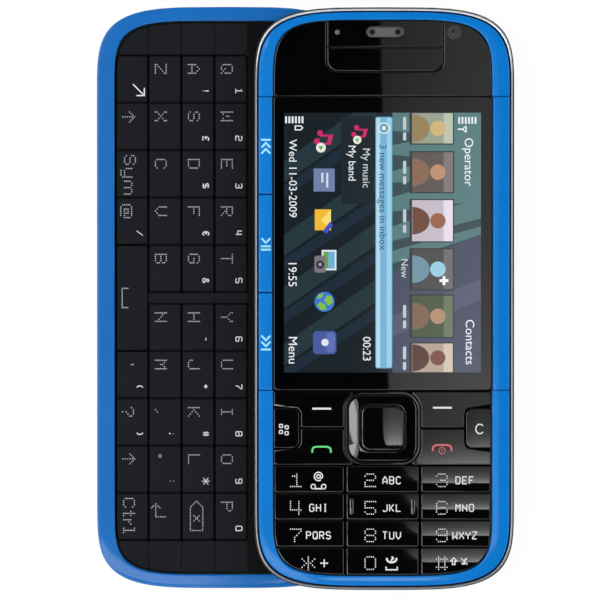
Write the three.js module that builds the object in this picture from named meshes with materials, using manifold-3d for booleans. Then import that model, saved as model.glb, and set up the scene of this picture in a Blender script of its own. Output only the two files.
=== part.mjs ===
// Side slider phone, lying on its back with the display half slid open.
// Millimetres, +X to the right, +Y towards the earpiece end, +Z up out of the display.
// The origin is the middle of the keyboard half's back face.
import * as THREE from 'three';
import { mergeVertices } from 'three/addons/utils/BufferGeometryUtils.js';
import Module from 'manifold-3d';

const wasm = await Module();
wasm.setup();

// Fits between pieces, and the overrun of cutting solids
const gap = 0.3;
const seam = 0.15;
const capGap = 0.4;
const overrun = 2;

// Outline that both halves share: straight sides and superellipse ends
const width = 50;
const length = 112;
const endCurve = 17.3;
const cornerExponent = 4;
const openingExponent = 4.7;
const stepsPerQuarter = 12;
const roundSteps = 24;
const bevelSteps = 3;

// Slide: the width that stays covered when the halves are open, and the gap between them
const coveredWidth = 19.75;
const slideGap = 0.3;

// Keyboard half, heights from the back face upwards
const baseThickness = 8.6;
const wall = 1.3;
const floor = 1;
const backRounding = 2;
const housingHeight = 5.6;
const housingSeam = 0.2;
const rimRounding = 0.3;
const rimSide = 3.4;
const rimEnd = 2.65;
const lipThickness = 1.5;
const batteryTop = 5.9;
const boardThickness = 0.6;
const deckDrop = 0.3;
const postRadius = 1.6;
const postInsetX = 6;
const postInsetY = 9;

// Letter keyboard, five rows above and five below the centre bar, in four columns
const rowsPerGroup = 5;
const columnCount = 4;
const endCell = 6.6;
const centreBar = 2.16;
const centreBarThickness = 0.35;
const edgeStrip = 1.25;
const capHeight = 0.6;
const webThickness = 0.35;
const webInset = 1;
const grooveWidth = 0.3;
const grooveDepth = 0.3;

// Battery and its sliding cover
const batterySideGap = 0.9;
const batteryEndClearance = 13;
const batteryCoverMargin = 4;
const coverSide = 7;
const coverBridge = 18.4;
const coverLip = 2.6;
const thumbGrooveCount = 4;
const thumbGrooveLength = 12;
const thumbGrooveWidth = 0.6;
const thumbGrooveDepth = 0.4;
const thumbGroovePitch = 1.6;
const thumbGrooveInset = 9;

// Camera, flash and loudspeaker in the back
const cameraInset = 20;
const cameraRadius = 4.2;
const lensRadius = 1.6;
const lensDepth = 0.5;
const cameraWindowRadius = 4.6;
const cameraWindowThickness = 0.45;
const windowRecess = 0.2;
const flashGap = 3.5;
const flashRadius = 1.4;
const speakerGap = 2.3;
const speakerWidth = 12;
const speakerLength = 8;
const speakerSlots = 4;
const speakerSlotLength = 8;
const speakerSlotWidth = 0.8;
const speakerSlotPitch = 1.6;

// Connector, its flap and the headset socket
const usbInset = 27;
const usbWidth = 8;
const usbDepth = 5.5;
const usbHeight = 3.2;
const usbMouthWidth = 6.8;
const usbMouthHeight = 1.9;
const usbMouthDepth = 4;
const usbRimTop = 1;
const doorLength = 9.6;
const doorHeight = 2.9;
const doorBottom = 2.4;
const doorThickness = 1;
const doorInset = 0.1;
const jackOffset = -8;
const jackRadius = 2.2;
const jackBoreRadius = 1.75;
const jackLength = 11.5;
const jackBoreDepth = 10;
const jackInset = 1.8;

// Side keys of the keyboard half
const sideKeyHeight = 2.2;
const sideKeyBottom = 2.5;
const sideKeyStand = 0.4;
const flangeThickness = 0.5;
const flangeEdge = 0.6;
const rockerLength = 16;
const rockerInset = 28;
const cameraKeyLength = 8;
const cameraKeyInset = 22;
const powerKeyLength = 6;
const powerKeyOffset = 11;
const powerFlangeInset = 2.5;

// Slide mechanism: a guide on the keyboard half, a rail plate in the display half, a wire spring
const guideWidth = 12;
const guideLip = 2.5;
const guideHeadThickness = 0.5;
const legOffset = 33;
const legThickness = 3;
const footWidth = 6;
const footThickness = 0.6;
const railThickness = 0.6;
const railEdge = 6.2;
const railBorder = 3.4;
const railBar = 3.2;
const springWire = 0.6;
const springPinRadius = 0.9;
const springWaves = 3;
const springWaveHeight = 2.4;
const springSteps = 60;
const springSides = 6;

// Display half, heights from its back face upwards
const sliderThickness = 6.5;
const backCoverThickness = 0.9;
const backCoverRounding = 0.4;
const trimWidth = 0.95;
const trimBottomGap = 0.2;
const trimDrop = 0.5;
const trimRounding = 0.25;
const trimJointInset = 11.5;
const trimGroove = 0.3;
const sliderBoardThickness = 0.6;
const frameDepth = 2.5;
const frameRounding = 0.3;
const ringLeft = 3.66;
const ringRight = 4.26;
const ringTop = 2.35;
const ringBottom = 2.75;
const faceDrop = 0.1;
const ledge = 0.5;

// Front face of the display half, distances down from its top end
const topPanelLength = 16.95;
const windowThickness = 0.8;
const topPanelThickness = 1.2;
const panelMargin = 0.9;
const panelThickness = 1.4;
const earpieceRow = 4.7;
const earpieceLength = 7;
const earpieceWidth = 2.06;
const earpieceBody = 10;
const earpieceBodyWidth = 3.4;
const earpieceOffset = 0.16;
const frontCameraInset = 11.5;
const frontCameraRadius = 1.35;
const frontLensRadius = 0.75;
const frontLensDepth = 0.25;
const sensorGap = 3.46;
const sensorRadius = 0.7;
const insetPanelSide = 9.84;
const insetPanelLength = 12.3;
const insetPanelRadius = 2.2;
const insetSplit = 7.6;
const insetGroove = 0.25;

// Strips beside the window
const stripKeyCount = 3;
const stripKeyThickness = 1.3;

// Number pad
const keyThickness = 2;
const keyDrop = 0.2;
const middleColumn = 14.35;
const navHeight = 14.4;
const rowPitch = 5.24;
const bottomRow = 5.55;
const numberRows = 4;
const tabWidth = 5.2;
const tabHeight = 7.9;
const selectWidth = 8.2;
const selectHeight = 8.5;
const selectRadius = 1;
const dpadRadius = 1.6;
const dpadLift = 0.2;
const pivotOuter = 12;
const pivotInner = 9.2;
const pivotThickness = 0.3;
const markRidge = 0.25;
const markRidgeLength = 2.8;
const markRidgeWidth = 0.5;
const markRidgeInset = 1.4;

// Levels that follow from the sizes
const boardBottom = batteryTop + gap;
const boardTop = boardBottom + boardThickness;
const deckBottom = boardTop + gap;
const deckTop = baseThickness - deckDrop;
const lipBottom = baseThickness - lipThickness;
const sliderBottom = baseThickness + slideGap;
const sliderTop = sliderBottom + sliderThickness;
const backCoverTop = sliderBottom + backCoverThickness;
const railBottom = backCoverTop + gap;
const railTop = railBottom + railThickness;
const headBottom = railTop + gap;
const headTop = headBottom + guideHeadThickness;
const sliderBoardBottom = headTop + gap;
const sliderBoardTop = sliderBoardBottom + sliderBoardThickness;
const frameBottom = sliderTop - frameDepth;
const faceTop = sliderTop - faceDrop;
const keyTop = sliderTop - keyDrop;
const keyBottom = keyTop - keyThickness;

// Places that follow from the sizes
const straight = length / 2 - endCurve;
const rimInset = { left: rimSide, right: rimSide, top: rimEnd, bottom: rimEnd };
const wallInset = even(wall);
const boardInset = even(wall + gap);
const trimInset = even(trimWidth);
const sliderInnerInset = even(trimWidth + gap);
const frameInset = even(trimWidth + seam);
const ringInset = { left: ringLeft, right: ringRight, top: ringTop, bottom: ringBottom };
const faceInset = grow(ringInset, seam);
const slideTravel = width - coveredWidth;
const springPinSpread = slideTravel / 2;
const keysLeft = rimSide + seam - width / 2;
const keysRight = slideTravel - width / 2 - edgeStrip;
const columnPitch = (keysRight - keysLeft) / columnCount;
const keysEnd = length / 2 - rimEnd - endCell;
const letterPitch = (2 * keysEnd - centreBar) / (2 * rowsPerGroup);
const guideCentre = slideTravel / 2;
const faceLeft = ringLeft - width / 2;
const faceRight = width / 2 - ringRight;
const faceCentre = (faceLeft + faceRight) / 2;
const windowTopEdge = length / 2 - topPanelLength;
const navBottomEdge = ringBottom - length / 2 + bottomRow + (numberRows - 1) * rowPitch;
const windowBottomEdge = navBottomEdge + navHeight;
const stripKeyPitch = (windowTopEdge - windowBottomEdge) / stripKeyCount;
const middleLeft = faceCentre - middleColumn / 2;
const middleRight = faceCentre + middleColumn / 2;
const navMiddle = windowBottomEdge - navHeight / 2;
const frontCameraOffset = width / 2 - frontCameraInset;
const sensorOffset = earpieceOffset - earpieceBody / 2 - sensorGap - sensorRadius;
const insetPanelWidth = faceRight - faceLeft - 2 * insetPanelSide;

// Colours and finishes
const finishes = {
  rimBlue: finish(0x2171c4, 0.35, 0),
  ringBlue: finish(0x0a7dd7, 0.3, 0),
  shellBlue: finish(0x1a5fa8, 0.45, 0),
  softBlack: finish(0x26272b, 0.55, 0),
  glossBlack: finish(0x0a0b0e, 0.12, 0),
  windowBlack: finish(0x05060a, 0.05, 0),
  silver: finish(0xc9ccd1, 0.2, 0.9),
  steel: finish(0x9a9da2, 0.35, 0.9),
  board: finish(0x14532d, 0.6, 0),
  battery: finish(0x33363b, 0.6, 0),
  lens: finish(0x101216, 0.05, 0),
  lamp: finish(0xf3f1dc, 0.2, 0),
};

// The same inset on every side of the outline.
function even(distance) {
  return { left: distance, right: distance, top: distance, bottom: distance };
}

function grow(inset, distance) {
  return {
    left: inset.left + distance,
    right: inset.right + distance,
    top: inset.top + distance,
    bottom: inset.bottom + distance,
  };
}

function finish(color, roughness, metalness) {
  return new THREE.MeshStandardMaterial({ color, roughness, metalness });
}

// Phone outline moved in by an inset: straight sides, each end half a superellipse.
function phoneOutline(inset, exponent = cornerExponent) {
  const halfWidth = (width - inset.left - inset.right) / 2;
  const centre = (inset.left - inset.right) / 2;
  const points = [];
  for (let quarter = 0; quarter < 4; quarter += 1) {
    const upper = quarter < 2;
    const right = quarter === 0 || quarter === 3;
    const reach = endCurve - (upper ? inset.top : inset.bottom);
    for (let step = quarter % 2; step <= stepsPerQuarter; step += 1) {
      const along = quarter % 2 === 0 ? step : stepsPerQuarter - step;
      const angle = (along / stepsPerQuarter) * (Math.PI / 2);
      const across = halfWidth * Math.max(Math.cos(angle), 0) ** (2 / exponent);
      const up = straight + reach * Math.sin(angle) ** (2 / exponent);
      points.push(new THREE.Vector2(centre + (right ? across : -across), upper ? up : -up));
    }
  }
  points.pop();
  return new THREE.Shape(points);
}

function roundedRectangle(left, right, bottom, top, radius) {
  const shape = new THREE.Shape();
  shape.moveTo(left + radius, bottom);
  shape.lineTo(right - radius, bottom);
  shape.absarc(right - radius, bottom + radius, radius, -Math.PI / 2, 0);
  shape.lineTo(right, top - radius);
  shape.absarc(right - radius, top - radius, radius, 0, Math.PI / 2);
  shape.lineTo(left + radius, top);
  shape.absarc(left + radius, top - radius, radius, Math.PI / 2, Math.PI);
  shape.lineTo(left, bottom + radius);
  shape.absarc(left + radius, bottom + radius, radius, Math.PI, 1.5 * Math.PI);
  return shape;
}

// A closed geometry as a solid that can be cut and joined.
function solid(geometry) {
  const bare = geometry.index ? geometry.toNonIndexed() : geometry.clone();
  bare.deleteAttribute('normal');
  bare.deleteAttribute('uv');
  const merged = mergeVertices(bare);
  const mesh = new wasm.Mesh({
    numProp: 3,
    vertProperties: new Float32Array(merged.attributes.position.array),
    triVerts: new Uint32Array(merged.index.array),
  });
  return new wasm.Manifold(mesh);
}

function slab(shape, bottom, top) {
  const geometry = new THREE.ExtrudeGeometry(shape, {
    depth: top - bottom,
    bevelEnabled: false,
    curveSegments: bevelSteps,
  });
  return solid(geometry.translate(0, 0, bottom));
}

// A slab whose rim is rounded at its bottom and top.
function roundSlab(shape, bottom, top, radius) {
  const geometry = new THREE.ExtrudeGeometry(shape, {
    depth: top - bottom - 2 * radius,
    bevelEnabled: true,
    bevelThickness: radius,
    bevelSize: radius,
    bevelOffset: -radius,
    bevelSegments: bevelSteps,
    curveSegments: bevelSteps,
  });
  return solid(geometry.translate(0, 0, bottom + radius));
}

function block(left, right, front, back, bottom, top) {
  const geometry = new THREE.BoxGeometry(right - left, back - front, top - bottom);
  return solid(geometry.translate((left + right) / 2, (front + back) / 2, (bottom + top) / 2));
}

function disc(x, y, radius, bottom, top) {
  const geometry = new THREE.CylinderGeometry(radius, radius, top - bottom, roundSteps);
  return solid(geometry.rotateX(Math.PI / 2).translate(x, y, (bottom + top) / 2));
}

// A round bar along Y.
function barAlongY(x, z, radius, front, back) {
  const geometry = new THREE.CylinderGeometry(radius, radius, back - front, roundSteps);
  return solid(geometry.translate(x, (front + back) / 2, z));
}

function joined(pieces) {
  return pieces.reduce((whole, piece) => whole.add(piece));
}

function cut(piece, cutters) {
  return cutters.reduce((whole, cutter) => whole.subtract(cutter), piece);
}

function geometryOf(piece) {
  const mesh = piece.getMesh();
  const geometry = new THREE.BufferGeometry();
  const positions = new Float32Array((mesh.vertProperties.length / mesh.numProp) * 3);
  for (let vertex = 0; vertex * mesh.numProp < mesh.vertProperties.length; vertex += 1) {
    for (let axis = 0; axis < 3; axis += 1) {
      positions[vertex * 3 + axis] = mesh.vertProperties[vertex * mesh.numProp + axis];
    }
  }
  geometry.setAttribute('position', new THREE.BufferAttribute(positions, 3));
  geometry.setIndex(new THREE.BufferAttribute(new Uint32Array(mesh.triVerts), 1));
  geometry.computeVertexNormals();
  return geometry;
}

function add(group, name, piece, material) {
  const mesh = new THREE.Mesh(geometryOf(piece), material);
  mesh.name = name;
  group.add(mesh);
  return mesh;
}

// The three sides of the keyboard half that hold keys or sockets
const usbOffset = usbInset - length / 2;
const rockerOffset = length / 2 - rockerInset;
const cameraKeyOffset = cameraKeyInset - length / 2;
const doorTop = doorBottom + doorHeight;
const doorBack = usbOffset + doorLength / 2;
const doorFront = usbOffset - doorLength / 2;
const sideKeyTop = sideKeyBottom + sideKeyHeight;
const jackHeight = batteryTop - jackRadius;
const jackMouth = length / 2 - jackInset;
const cameraRow = length / 2 - cameraInset;
const coverTop = cameraRow - cameraWindowRadius - coverBridge;
const speakerOffset = -(cameraRadius + speakerGap + speakerWidth / 2);
const flashOffset = cameraWindowRadius + flashGap + flashRadius;
const socketFront = doorInset + 1.5 * doorThickness - width / 2;
const batteryReach = -(socketFront + usbDepth + batterySideGap);
const outside = width / 2 + overrun;
const inside = width / 2 - wall - overrun;

// Openings for the long side keys, right through the right wall.
function sideKeyOpening(offset, keyLength) {
  const reach = keyLength / 2 + gap;
  return block(inside, outside, offset - reach, offset + reach, sideKeyBottom - gap, sideKeyTop + gap);
}

function powerKeyOpening() {
  const reach = powerKeyLength / 2 + gap;
  const front = length / 2 - wall - overrun;
  const back = length / 2 + overrun;
  const low = sideKeyBottom - gap;
  return block(powerKeyOffset - reach, powerKeyOffset + reach, front, back, low, sideKeyTop + gap);
}

function doorOpening() {
  return block(-outside, -inside, doorFront - gap, doorBack + gap, doorBottom - gap, doorTop + gap);
}

function speakerOpenings() {
  const slots = [];
  for (let slot = 0; slot < speakerSlots; slot += 1) {
    const y = cameraRow + (slot - (speakerSlots - 1) / 2) * speakerSlotPitch;
    const left = speakerOffset - speakerSlotLength / 2;
    const right = speakerOffset + speakerSlotLength / 2;
    const reach = speakerSlotWidth / 2;
    slots.push(block(left, right, y - reach, y + reach, -overrun, floor + overrun));
  }
  return slots;
}

// Where the battery cover lies, larger by a clearance for the opening in the housing.
function coverSpace(clearance) {
  const reach = width / 2 - coverSide + clearance;
  const front = -length / 2 - overrun;
  return block(-reach, reach, front, coverTop + clearance, -overrun, coverLip + clearance);
}

function housingShell() {
  const whole = roundSlab(phoneOutline(even(0)), 0, housingHeight + 2 * backRounding, backRounding);
  const above = block(-width, width, -length, length, housingHeight, baseThickness + length);
  const inner = slab(phoneOutline(wallInset), floor, housingHeight + overrun);
  return cut(whole, [above, inner]);
}

function rearHousing() {
  const posts = [];
  for (const x of [postInsetX - width / 2, width / 2 - postInsetX]) {
    for (const y of [postInsetY - length / 2, length / 2 - postInsetY]) {
      posts.push(disc(x, y, postRadius, floor - gap, batteryTop));
    }
  }
  return cut(joined([housingShell(), ...posts]), [
    coverSpace(gap),
    disc(0, cameraRow, cameraWindowRadius + gap, -overrun, floor + overrun),
    disc(flashOffset, cameraRow, flashRadius + gap, -overrun, floor + overrun),
    ...speakerOpenings(),
    doorOpening(),
    barAlongY(jackOffset, jackHeight, jackBoreRadius, jackMouth - overrun, length / 2 + overrun),
    powerKeyOpening(),
    sideKeyOpening(rockerOffset, rockerLength),
    sideKeyOpening(cameraKeyOffset, cameraKeyLength),
  ]);
}

function batteryCover() {
  const grooves = [];
  for (let groove = 0; groove < thumbGrooveCount; groove += 1) {
    const y = coverTop - thumbGrooveInset + groove * thumbGroovePitch;
    const reach = thumbGrooveLength / 2;
    grooves.push(block(-reach, reach, y, y + thumbGrooveWidth, -overrun, thumbGrooveDepth));
  }
  return cut(housingShell().intersect(coverSpace(0)), grooves);
}

function keyboardFrame() {
  const bottom = housingHeight + housingSeam;
  const whole = roundSlab(phoneOutline(even(0)), bottom - 2 * rimRounding, baseThickness, rimRounding);
  const below = block(-width, width, -length, length, bottom - length, bottom);
  return cut(whole, [
    below,
    slab(phoneOutline(wallInset), bottom - overrun, lipBottom),
    slab(phoneOutline(rimInset, openingExponent), bottom - overrun, baseThickness + overrun),
  ]);
}

// Left edge of a letter column, counted from the left rim.
function columnEdge(column) {
  return keysLeft + column * columnPitch;
}

// Top edge of a letter row; rows 0 to 4 are above the centre bar, 5 to 9 below it.
function rowEdge(row) {
  const below = row >= rowsPerGroup;
  return keysEnd - row * letterPitch - (below ? centreBar : 0);
}

function keyboardDeck() {
  const plate = slab(phoneOutline(grow(rimInset, seam), openingExponent), deckBottom, deckTop);
  const keyWindow = block(-width, keysRight, -keysEnd, keysEnd, deckBottom - overrun, deckTop + overrun);
  const barLeft = columnEdge(1);
  const barBottom = deckTop - centreBarThickness;
  const bar = block(barLeft, keysRight + overrun, -centreBar / 2, centreBar / 2, barBottom, deckTop);
  const cutters = [];
  for (let column = 1; column < columnCount; column += 1) {
    const x = columnEdge(column);
    for (const side of [-1, 1]) {
      const near = side * keysEnd;
      const far = side * (keysEnd + endCell + overrun);
      const front = Math.min(near, far);
      const back = Math.max(near, far);
      const left = x - grooveWidth / 2;
      const right = x + grooveWidth / 2;
      cutters.push(block(left, right, front, back, deckTop - grooveDepth, deckTop + overrun));
    }
  }
  for (const side of [-1, 1]) {
    cutters.push(footSpace(side, gap));
  }
  return cut(joined([cut(plate, [keyWindow]), bar]), cutters);
}

// A line of letter caps on one web, from the first to the last row of a column.
function letterStrip(column, firstRow, lastRow) {
  const left = columnEdge(column) + capGap / 2;
  const right = columnEdge(column + 1) - capGap / 2;
  const capBottom = deckTop - capHeight;
  const webTop = deckTop - centreBarThickness - gap;
  const webBottom = webTop - webThickness;
  const caps = [];
  for (let row = firstRow; row <= lastRow; row += 1) {
    const back = rowEdge(row) - capGap / 2;
    const front = rowEdge(row) - letterPitch + capGap / 2;
    caps.push(block(left, right, front, back, Math.min(capBottom, webTop), deckTop));
  }
  const webBack = rowEdge(firstRow) - webInset;
  const webFront = rowEdge(lastRow) - letterPitch + webInset;
  const web = block(left + webInset, right - webInset, webFront, webBack, webBottom, webTop);
  const opening = phoneOutline(grow(rimInset, gap), openingExponent);
  const rimOpening = slab(opening, webBottom - overrun, deckTop + overrun);
  return joined([web, ...caps]).intersect(rimOpening);
}

// The space bar takes the two cells next to the middle of the outer column.
function spaceBar() {
  const left = columnEdge(0) + capGap / 2;
  const right = columnEdge(1) - capGap / 2;
  const reach = centreBar / 2 + letterPitch - capGap / 2;
  const webTop = deckTop - centreBarThickness - gap;
  const cap = block(left, right, -reach, reach, webTop, deckTop);
  const web = block(
    left + webInset, right - webInset, webInset - reach, reach - webInset, webTop - webThickness, webTop,
  );
  return joined([cap, web]);
}

function mainBoard() {
  return slab(phoneOutline(boardInset), boardBottom, boardTop);
}

function battery() {
  const front = batteryEndClearance - length / 2;
  const back = coverTop - batteryCoverMargin;
  const shape = roundedRectangle(-batteryReach, batteryReach, front, back, wall);
  return slab(shape, floor + gap, batteryTop);
}

function rearCamera() {
  const bottom = windowRecess + cameraWindowThickness + gap;
  return cut(disc(0, cameraRow, cameraRadius, bottom, batteryTop), [
    disc(0, cameraRow, lensRadius, bottom - overrun, bottom + lensDepth),
  ]);
}

function cameraWindow() {
  const top = windowRecess + cameraWindowThickness;
  return disc(0, cameraRow, cameraWindowRadius, windowRecess, top);
}

function flashLed() {
  return disc(flashOffset, cameraRow, flashRadius, windowRecess, batteryTop);
}

function loudspeaker() {
  const left = speakerOffset - speakerWidth / 2;
  const front = cameraRow - speakerLength / 2;
  const shape = roundedRectangle(left, left + speakerWidth, front, front + speakerLength, wall);
  return slab(shape, floor + gap, batteryTop);
}

function usbSocket() {
  const back = socketFront + usbDepth;
  const bottom = batteryTop - usbHeight;
  const low = usbOffset - usbWidth / 2;
  const body = block(socketFront, back, low, low + usbWidth, bottom, batteryTop);
  const mouthLow = usbOffset - usbMouthWidth / 2;
  const mouthTop = batteryTop - usbRimTop;
  const mouth = block(
    socketFront - overrun, socketFront + usbMouthDepth, mouthLow, mouthLow + usbMouthWidth,
    mouthTop - usbMouthHeight, mouthTop,
  );
  return cut(body, [mouth]);
}

// The flap's lower edge is a half round about its hinge line.
function usbDoor() {
  const outer = doorInset - width / 2;
  const hingeX = outer + doorThickness / 2;
  const hingeZ = doorBottom + doorThickness / 2;
  return joined([
    block(outer, outer + doorThickness, doorFront, doorBack, hingeZ, doorTop),
    barAlongY(hingeX, hingeZ, doorThickness / 2, doorFront, doorBack),
  ]);
}

function headsetJack() {
  return cut(barAlongY(jackOffset, jackHeight, jackRadius, jackMouth - jackLength, jackMouth), [
    barAlongY(jackOffset, jackHeight, jackBoreRadius, jackMouth - jackBoreDepth, jackMouth + overrun),
  ]);
}

// A key in the right wall: a body through the wall and a wider flange behind it.
function sideKey(offset, keyLength, flangeGap) {
  const wallInside = width / 2 - wall;
  const flangeOut = wallInside - flangeGap;
  const flangeIn = flangeOut - flangeThickness;
  const reach = keyLength / 2;
  const outer = width / 2 + sideKeyStand;
  const low = sideKeyBottom - flangeEdge;
  return joined([
    block(flangeIn, outer, offset - reach, offset + reach, sideKeyBottom, sideKeyTop),
    block(
      flangeIn, flangeOut, offset - reach - flangeEdge, offset + reach + flangeEdge,
      low, sideKeyTop + flangeEdge,
    ),
  ]);
}

function powerKey() {
  const flangeBack = length / 2 - powerFlangeInset;
  const flangeFront = flangeBack - flangeThickness;
  const reach = powerKeyLength / 2;
  const left = powerKeyOffset - reach;
  const right = powerKeyOffset + reach;
  const outer = slab(phoneOutline(even(-sideKeyStand)), sideKeyBottom, sideKeyTop);
  const body = block(left, right, flangeFront, length, 0, housingHeight).intersect(outer);
  const low = sideKeyBottom - flangeEdge;
  return joined([
    body,
    block(left - flangeEdge, right + flangeEdge, flangeFront, flangeBack, low, sideKeyTop + flangeEdge),
  ]);
}

// Space of the guide's feet in the keyboard deck.
function footSpace(side, clearance) {
  const reachX = guideWidth / 2 + clearance;
  const reachY = footWidth / 2 + clearance;
  const y = side * legOffset;
  const bottom = baseThickness - footThickness - clearance;
  return block(guideCentre - reachX, guideCentre + reachX, y - reachY, y + reachY, bottom, baseThickness);
}

function slideGuide() {
  const left = guideCentre - guideWidth / 2;
  const right = guideCentre + guideWidth / 2;
  const headReach = legOffset + legThickness / 2 + guideLip;
  const pieces = [block(left, right, -headReach, headReach, headBottom, headTop)];
  for (const side of [-1, 1]) {
    const y = side * legOffset;
    const reach = legThickness / 2;
    pieces.push(footSpace(side, 0));
    pieces.push(block(left, right, y - reach, y + reach, baseThickness - footThickness, headTop));
  }
  pieces.push(disc(guideCentre, -springPinSpread / 2, springPinRadius, railBottom, headTop));
  return joined(pieces);
}

// Slots in the display half that the guide's legs run in.
function legSlots(bottom, top) {
  const reachX = guideCentre + guideWidth / 2 + gap;
  const reachY = legThickness / 2 + gap;
  return [-1, 1].map((side) => {
    const y = side * legOffset;
    return block(-reachX, reachX, y - reachY, y + reachY, bottom, top);
  });
}

function slideRail() {
  const reach = width / 2 - trimWidth - 2 * gap;
  const slotOut = legOffset + legThickness / 2 + gap;
  const slotIn = legOffset - legThickness / 2 - gap;
  const railReach = slotOut + railEdge;
  const windowX = reach - railBorder;
  const windowY = slotIn - railBar;
  return cut(block(-reach, reach, -railReach, railReach, railBottom, railTop), [
    block(-windowX, windowX, -windowY, windowY, railBottom - overrun, railTop + overrun),
    ...legSlots(railBottom - overrun, railTop + overrun),
  ]);
}

function sliderBackCover() {
  const outline = phoneOutline(even(0));
  const whole = roundSlab(outline, sliderBottom, backCoverTop + 2 * backCoverRounding, backCoverRounding);
  const above = block(-width, width, -length, length, backCoverTop, backCoverTop + length);
  const shell = cut(whole, [above, ...legSlots(sliderBottom - overrun, backCoverTop + overrun)]);
  return joined([shell, disc(0, springPinSpread / 2, springPinRadius, sliderBottom, railTop)]);
}

// Wire spring in one plane: an open eye round each pin and waves between them.
function slideSpring() {
  const eye = springPinRadius + gap + springWire / 2;
  const start = new THREE.Vector3(guideCentre, -springPinSpread / 2, 0);
  const end = new THREE.Vector3(slideTravel, springPinSpread / 2, 0);
  const along = end.clone().sub(start).normalize();
  const across = new THREE.Vector3(-along.y, along.x, 0);
  const span = start.distanceTo(end);
  const points = [];
  const eyeStepShares = [0.83, 0.7, 0.55, 0.4, 0.25, 0.12];
  for (const share of eyeStepShares) {
    const angle = share * 2 * Math.PI;
    const point = start.clone().addScaledVector(along, eye * Math.cos(angle));
    points.push(point.addScaledVector(across, eye * Math.sin(angle)));
  }
  const waveSteps = springWaves * 4;
  const middle = span - 4 * eye;
  for (let step = 0; step <= waveSteps; step += 1) {
    const swing = Math.sin((step / waveSteps) * springWaves * 2 * Math.PI) * springWaveHeight;
    const point = start.clone().addScaledVector(along, 2 * eye + (step / waveSteps) * middle);
    points.push(point.addScaledVector(across, swing));
  }
  for (const share of [...eyeStepShares].reverse()) {
    const angle = Math.PI + share * 2 * Math.PI;
    const point = end.clone().addScaledVector(along, eye * Math.cos(angle));
    points.push(point.addScaledVector(across, eye * Math.sin(angle)));
  }
  const section = new THREE.Shape();
  section.absarc(0, 0, springWire / 2, 0, 2 * Math.PI);
  const geometry = new THREE.ExtrudeGeometry(section, {
    steps: springSteps,
    curveSegments: springSides,
    bevelEnabled: false,
    extrudePath: new THREE.CatmullRomCurve3(points),
  });
  return solid(geometry.translate(0, 0, railBottom + springWire / 2));
}

function chromeTrim() {
  const bottom = backCoverTop + trimBottomGap;
  const top = sliderTop - trimDrop;
  const trimJoint = length / 2 - trimJointInset;
  const grooves = [];
  for (const side of [-1, 1]) {
    const near = side * (width / 2 - trimGroove);
    const far = side * (width / 2 + overrun);
    const left = Math.min(near, far);
    const right = Math.max(near, far);
    grooves.push(block(left, right, -trimJoint - trimGroove, -trimJoint, bottom - overrun, top + overrun));
  }
  return cut(roundSlab(phoneOutline(even(0)), bottom, top, trimRounding), [
    slab(phoneOutline(trimInset), bottom - overrun, top + overrun),
    ...grooves,
  ]);
}

function sliderBoard() {
  return slab(phoneOutline(sliderInnerInset), sliderBoardBottom, sliderBoardTop);
}

// Pocket in the blue ring for the pieces that lie beside the window.
function stripSpace(side, clearance) {
  const back = windowTopEdge + clearance;
  const front = windowBottomEdge - clearance;
  const outer = width / 2;
  const left = side < 0 ? -outer : faceRight - overrun;
  const right = side < 0 ? faceLeft + overrun : outer;
  return block(left, right, front, back, frameBottom + ledge, sliderTop + overrun);
}

function frontFrame() {
  const whole = roundSlab(
    phoneOutline(frameInset), frameBottom - 2 * frameRounding, sliderTop, frameRounding,
  );
  const below = block(-width, width, -length, length, frameBottom - length, frameBottom);
  return cut(whole, [
    below,
    slab(phoneOutline(ringInset, openingExponent), frameBottom - overrun, sliderTop + overrun),
    stripSpace(-1, 0),
    stripSpace(1, 0),
  ]);
}

// A piece of the strip beside the window, between the trim and the window.
function stripPiece(side, front, back) {
  const top = faceTop;
  const bottom = top - stripKeyThickness;
  const outer = width / 2 - trimWidth - seam;
  const left = side < 0 ? -outer : faceRight + seam;
  const right = side < 0 ? faceLeft - seam : outer;
  return block(left, right, front + seam, back - seam, bottom, top);
}

function topPanel() {
  const top = faceTop;
  const bottom = top - topPanelThickness;
  const row = length / 2 - earpieceRow;
  const whole = slab(phoneOutline(faceInset, openingExponent), bottom, top);
  const below = block(-width, width, -length, windowTopEdge + seam, bottom - overrun, top + overrun);
  const insetLeft = earpieceOffset - insetPanelWidth / 2;
  const insetRight = earpieceOffset + insetPanelWidth / 2;
  const insetBottom = length / 2 - insetPanelLength;
  const outer = roundedRectangle(insetLeft, insetRight, insetBottom, length, insetPanelRadius);
  const inner = roundedRectangle(
    insetLeft + insetGroove, insetRight - insetGroove, insetBottom + insetGroove, length,
    insetPanelRadius - insetGroove,
  );
  const grooveFloor = top - insetGroove;
  const outlineGroove = slab(outer, grooveFloor, top + overrun).subtract(
    slab(inner, grooveFloor - overrun, top + 2 * overrun),
  );
  const split = length / 2 - insetSplit;
  const splitGroove = block(insetLeft, insetRight, split, split + insetGroove, grooveFloor, top + overrun);
  return cut(whole, [
    below,
    outlineGroove,
    splitGroove,
    slab(earpieceShape(gap), bottom - overrun, top + overrun),
    disc(frontCameraOffset, row, frontCameraRadius + seam, bottom - overrun, top + overrun),
    disc(sensorOffset, row, sensorRadius + seam, bottom - overrun, top + overrun),
  ]);
}

function earpieceShape(clearance) {
  const row = length / 2 - earpieceRow;
  const reachX = earpieceLength / 2 + clearance;
  const reachY = earpieceWidth / 2 + clearance;
  const left = earpieceOffset - reachX;
  return roundedRectangle(left, earpieceOffset + reachX, row - reachY, row + reachY, reachY - seam / 2);
}

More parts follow.
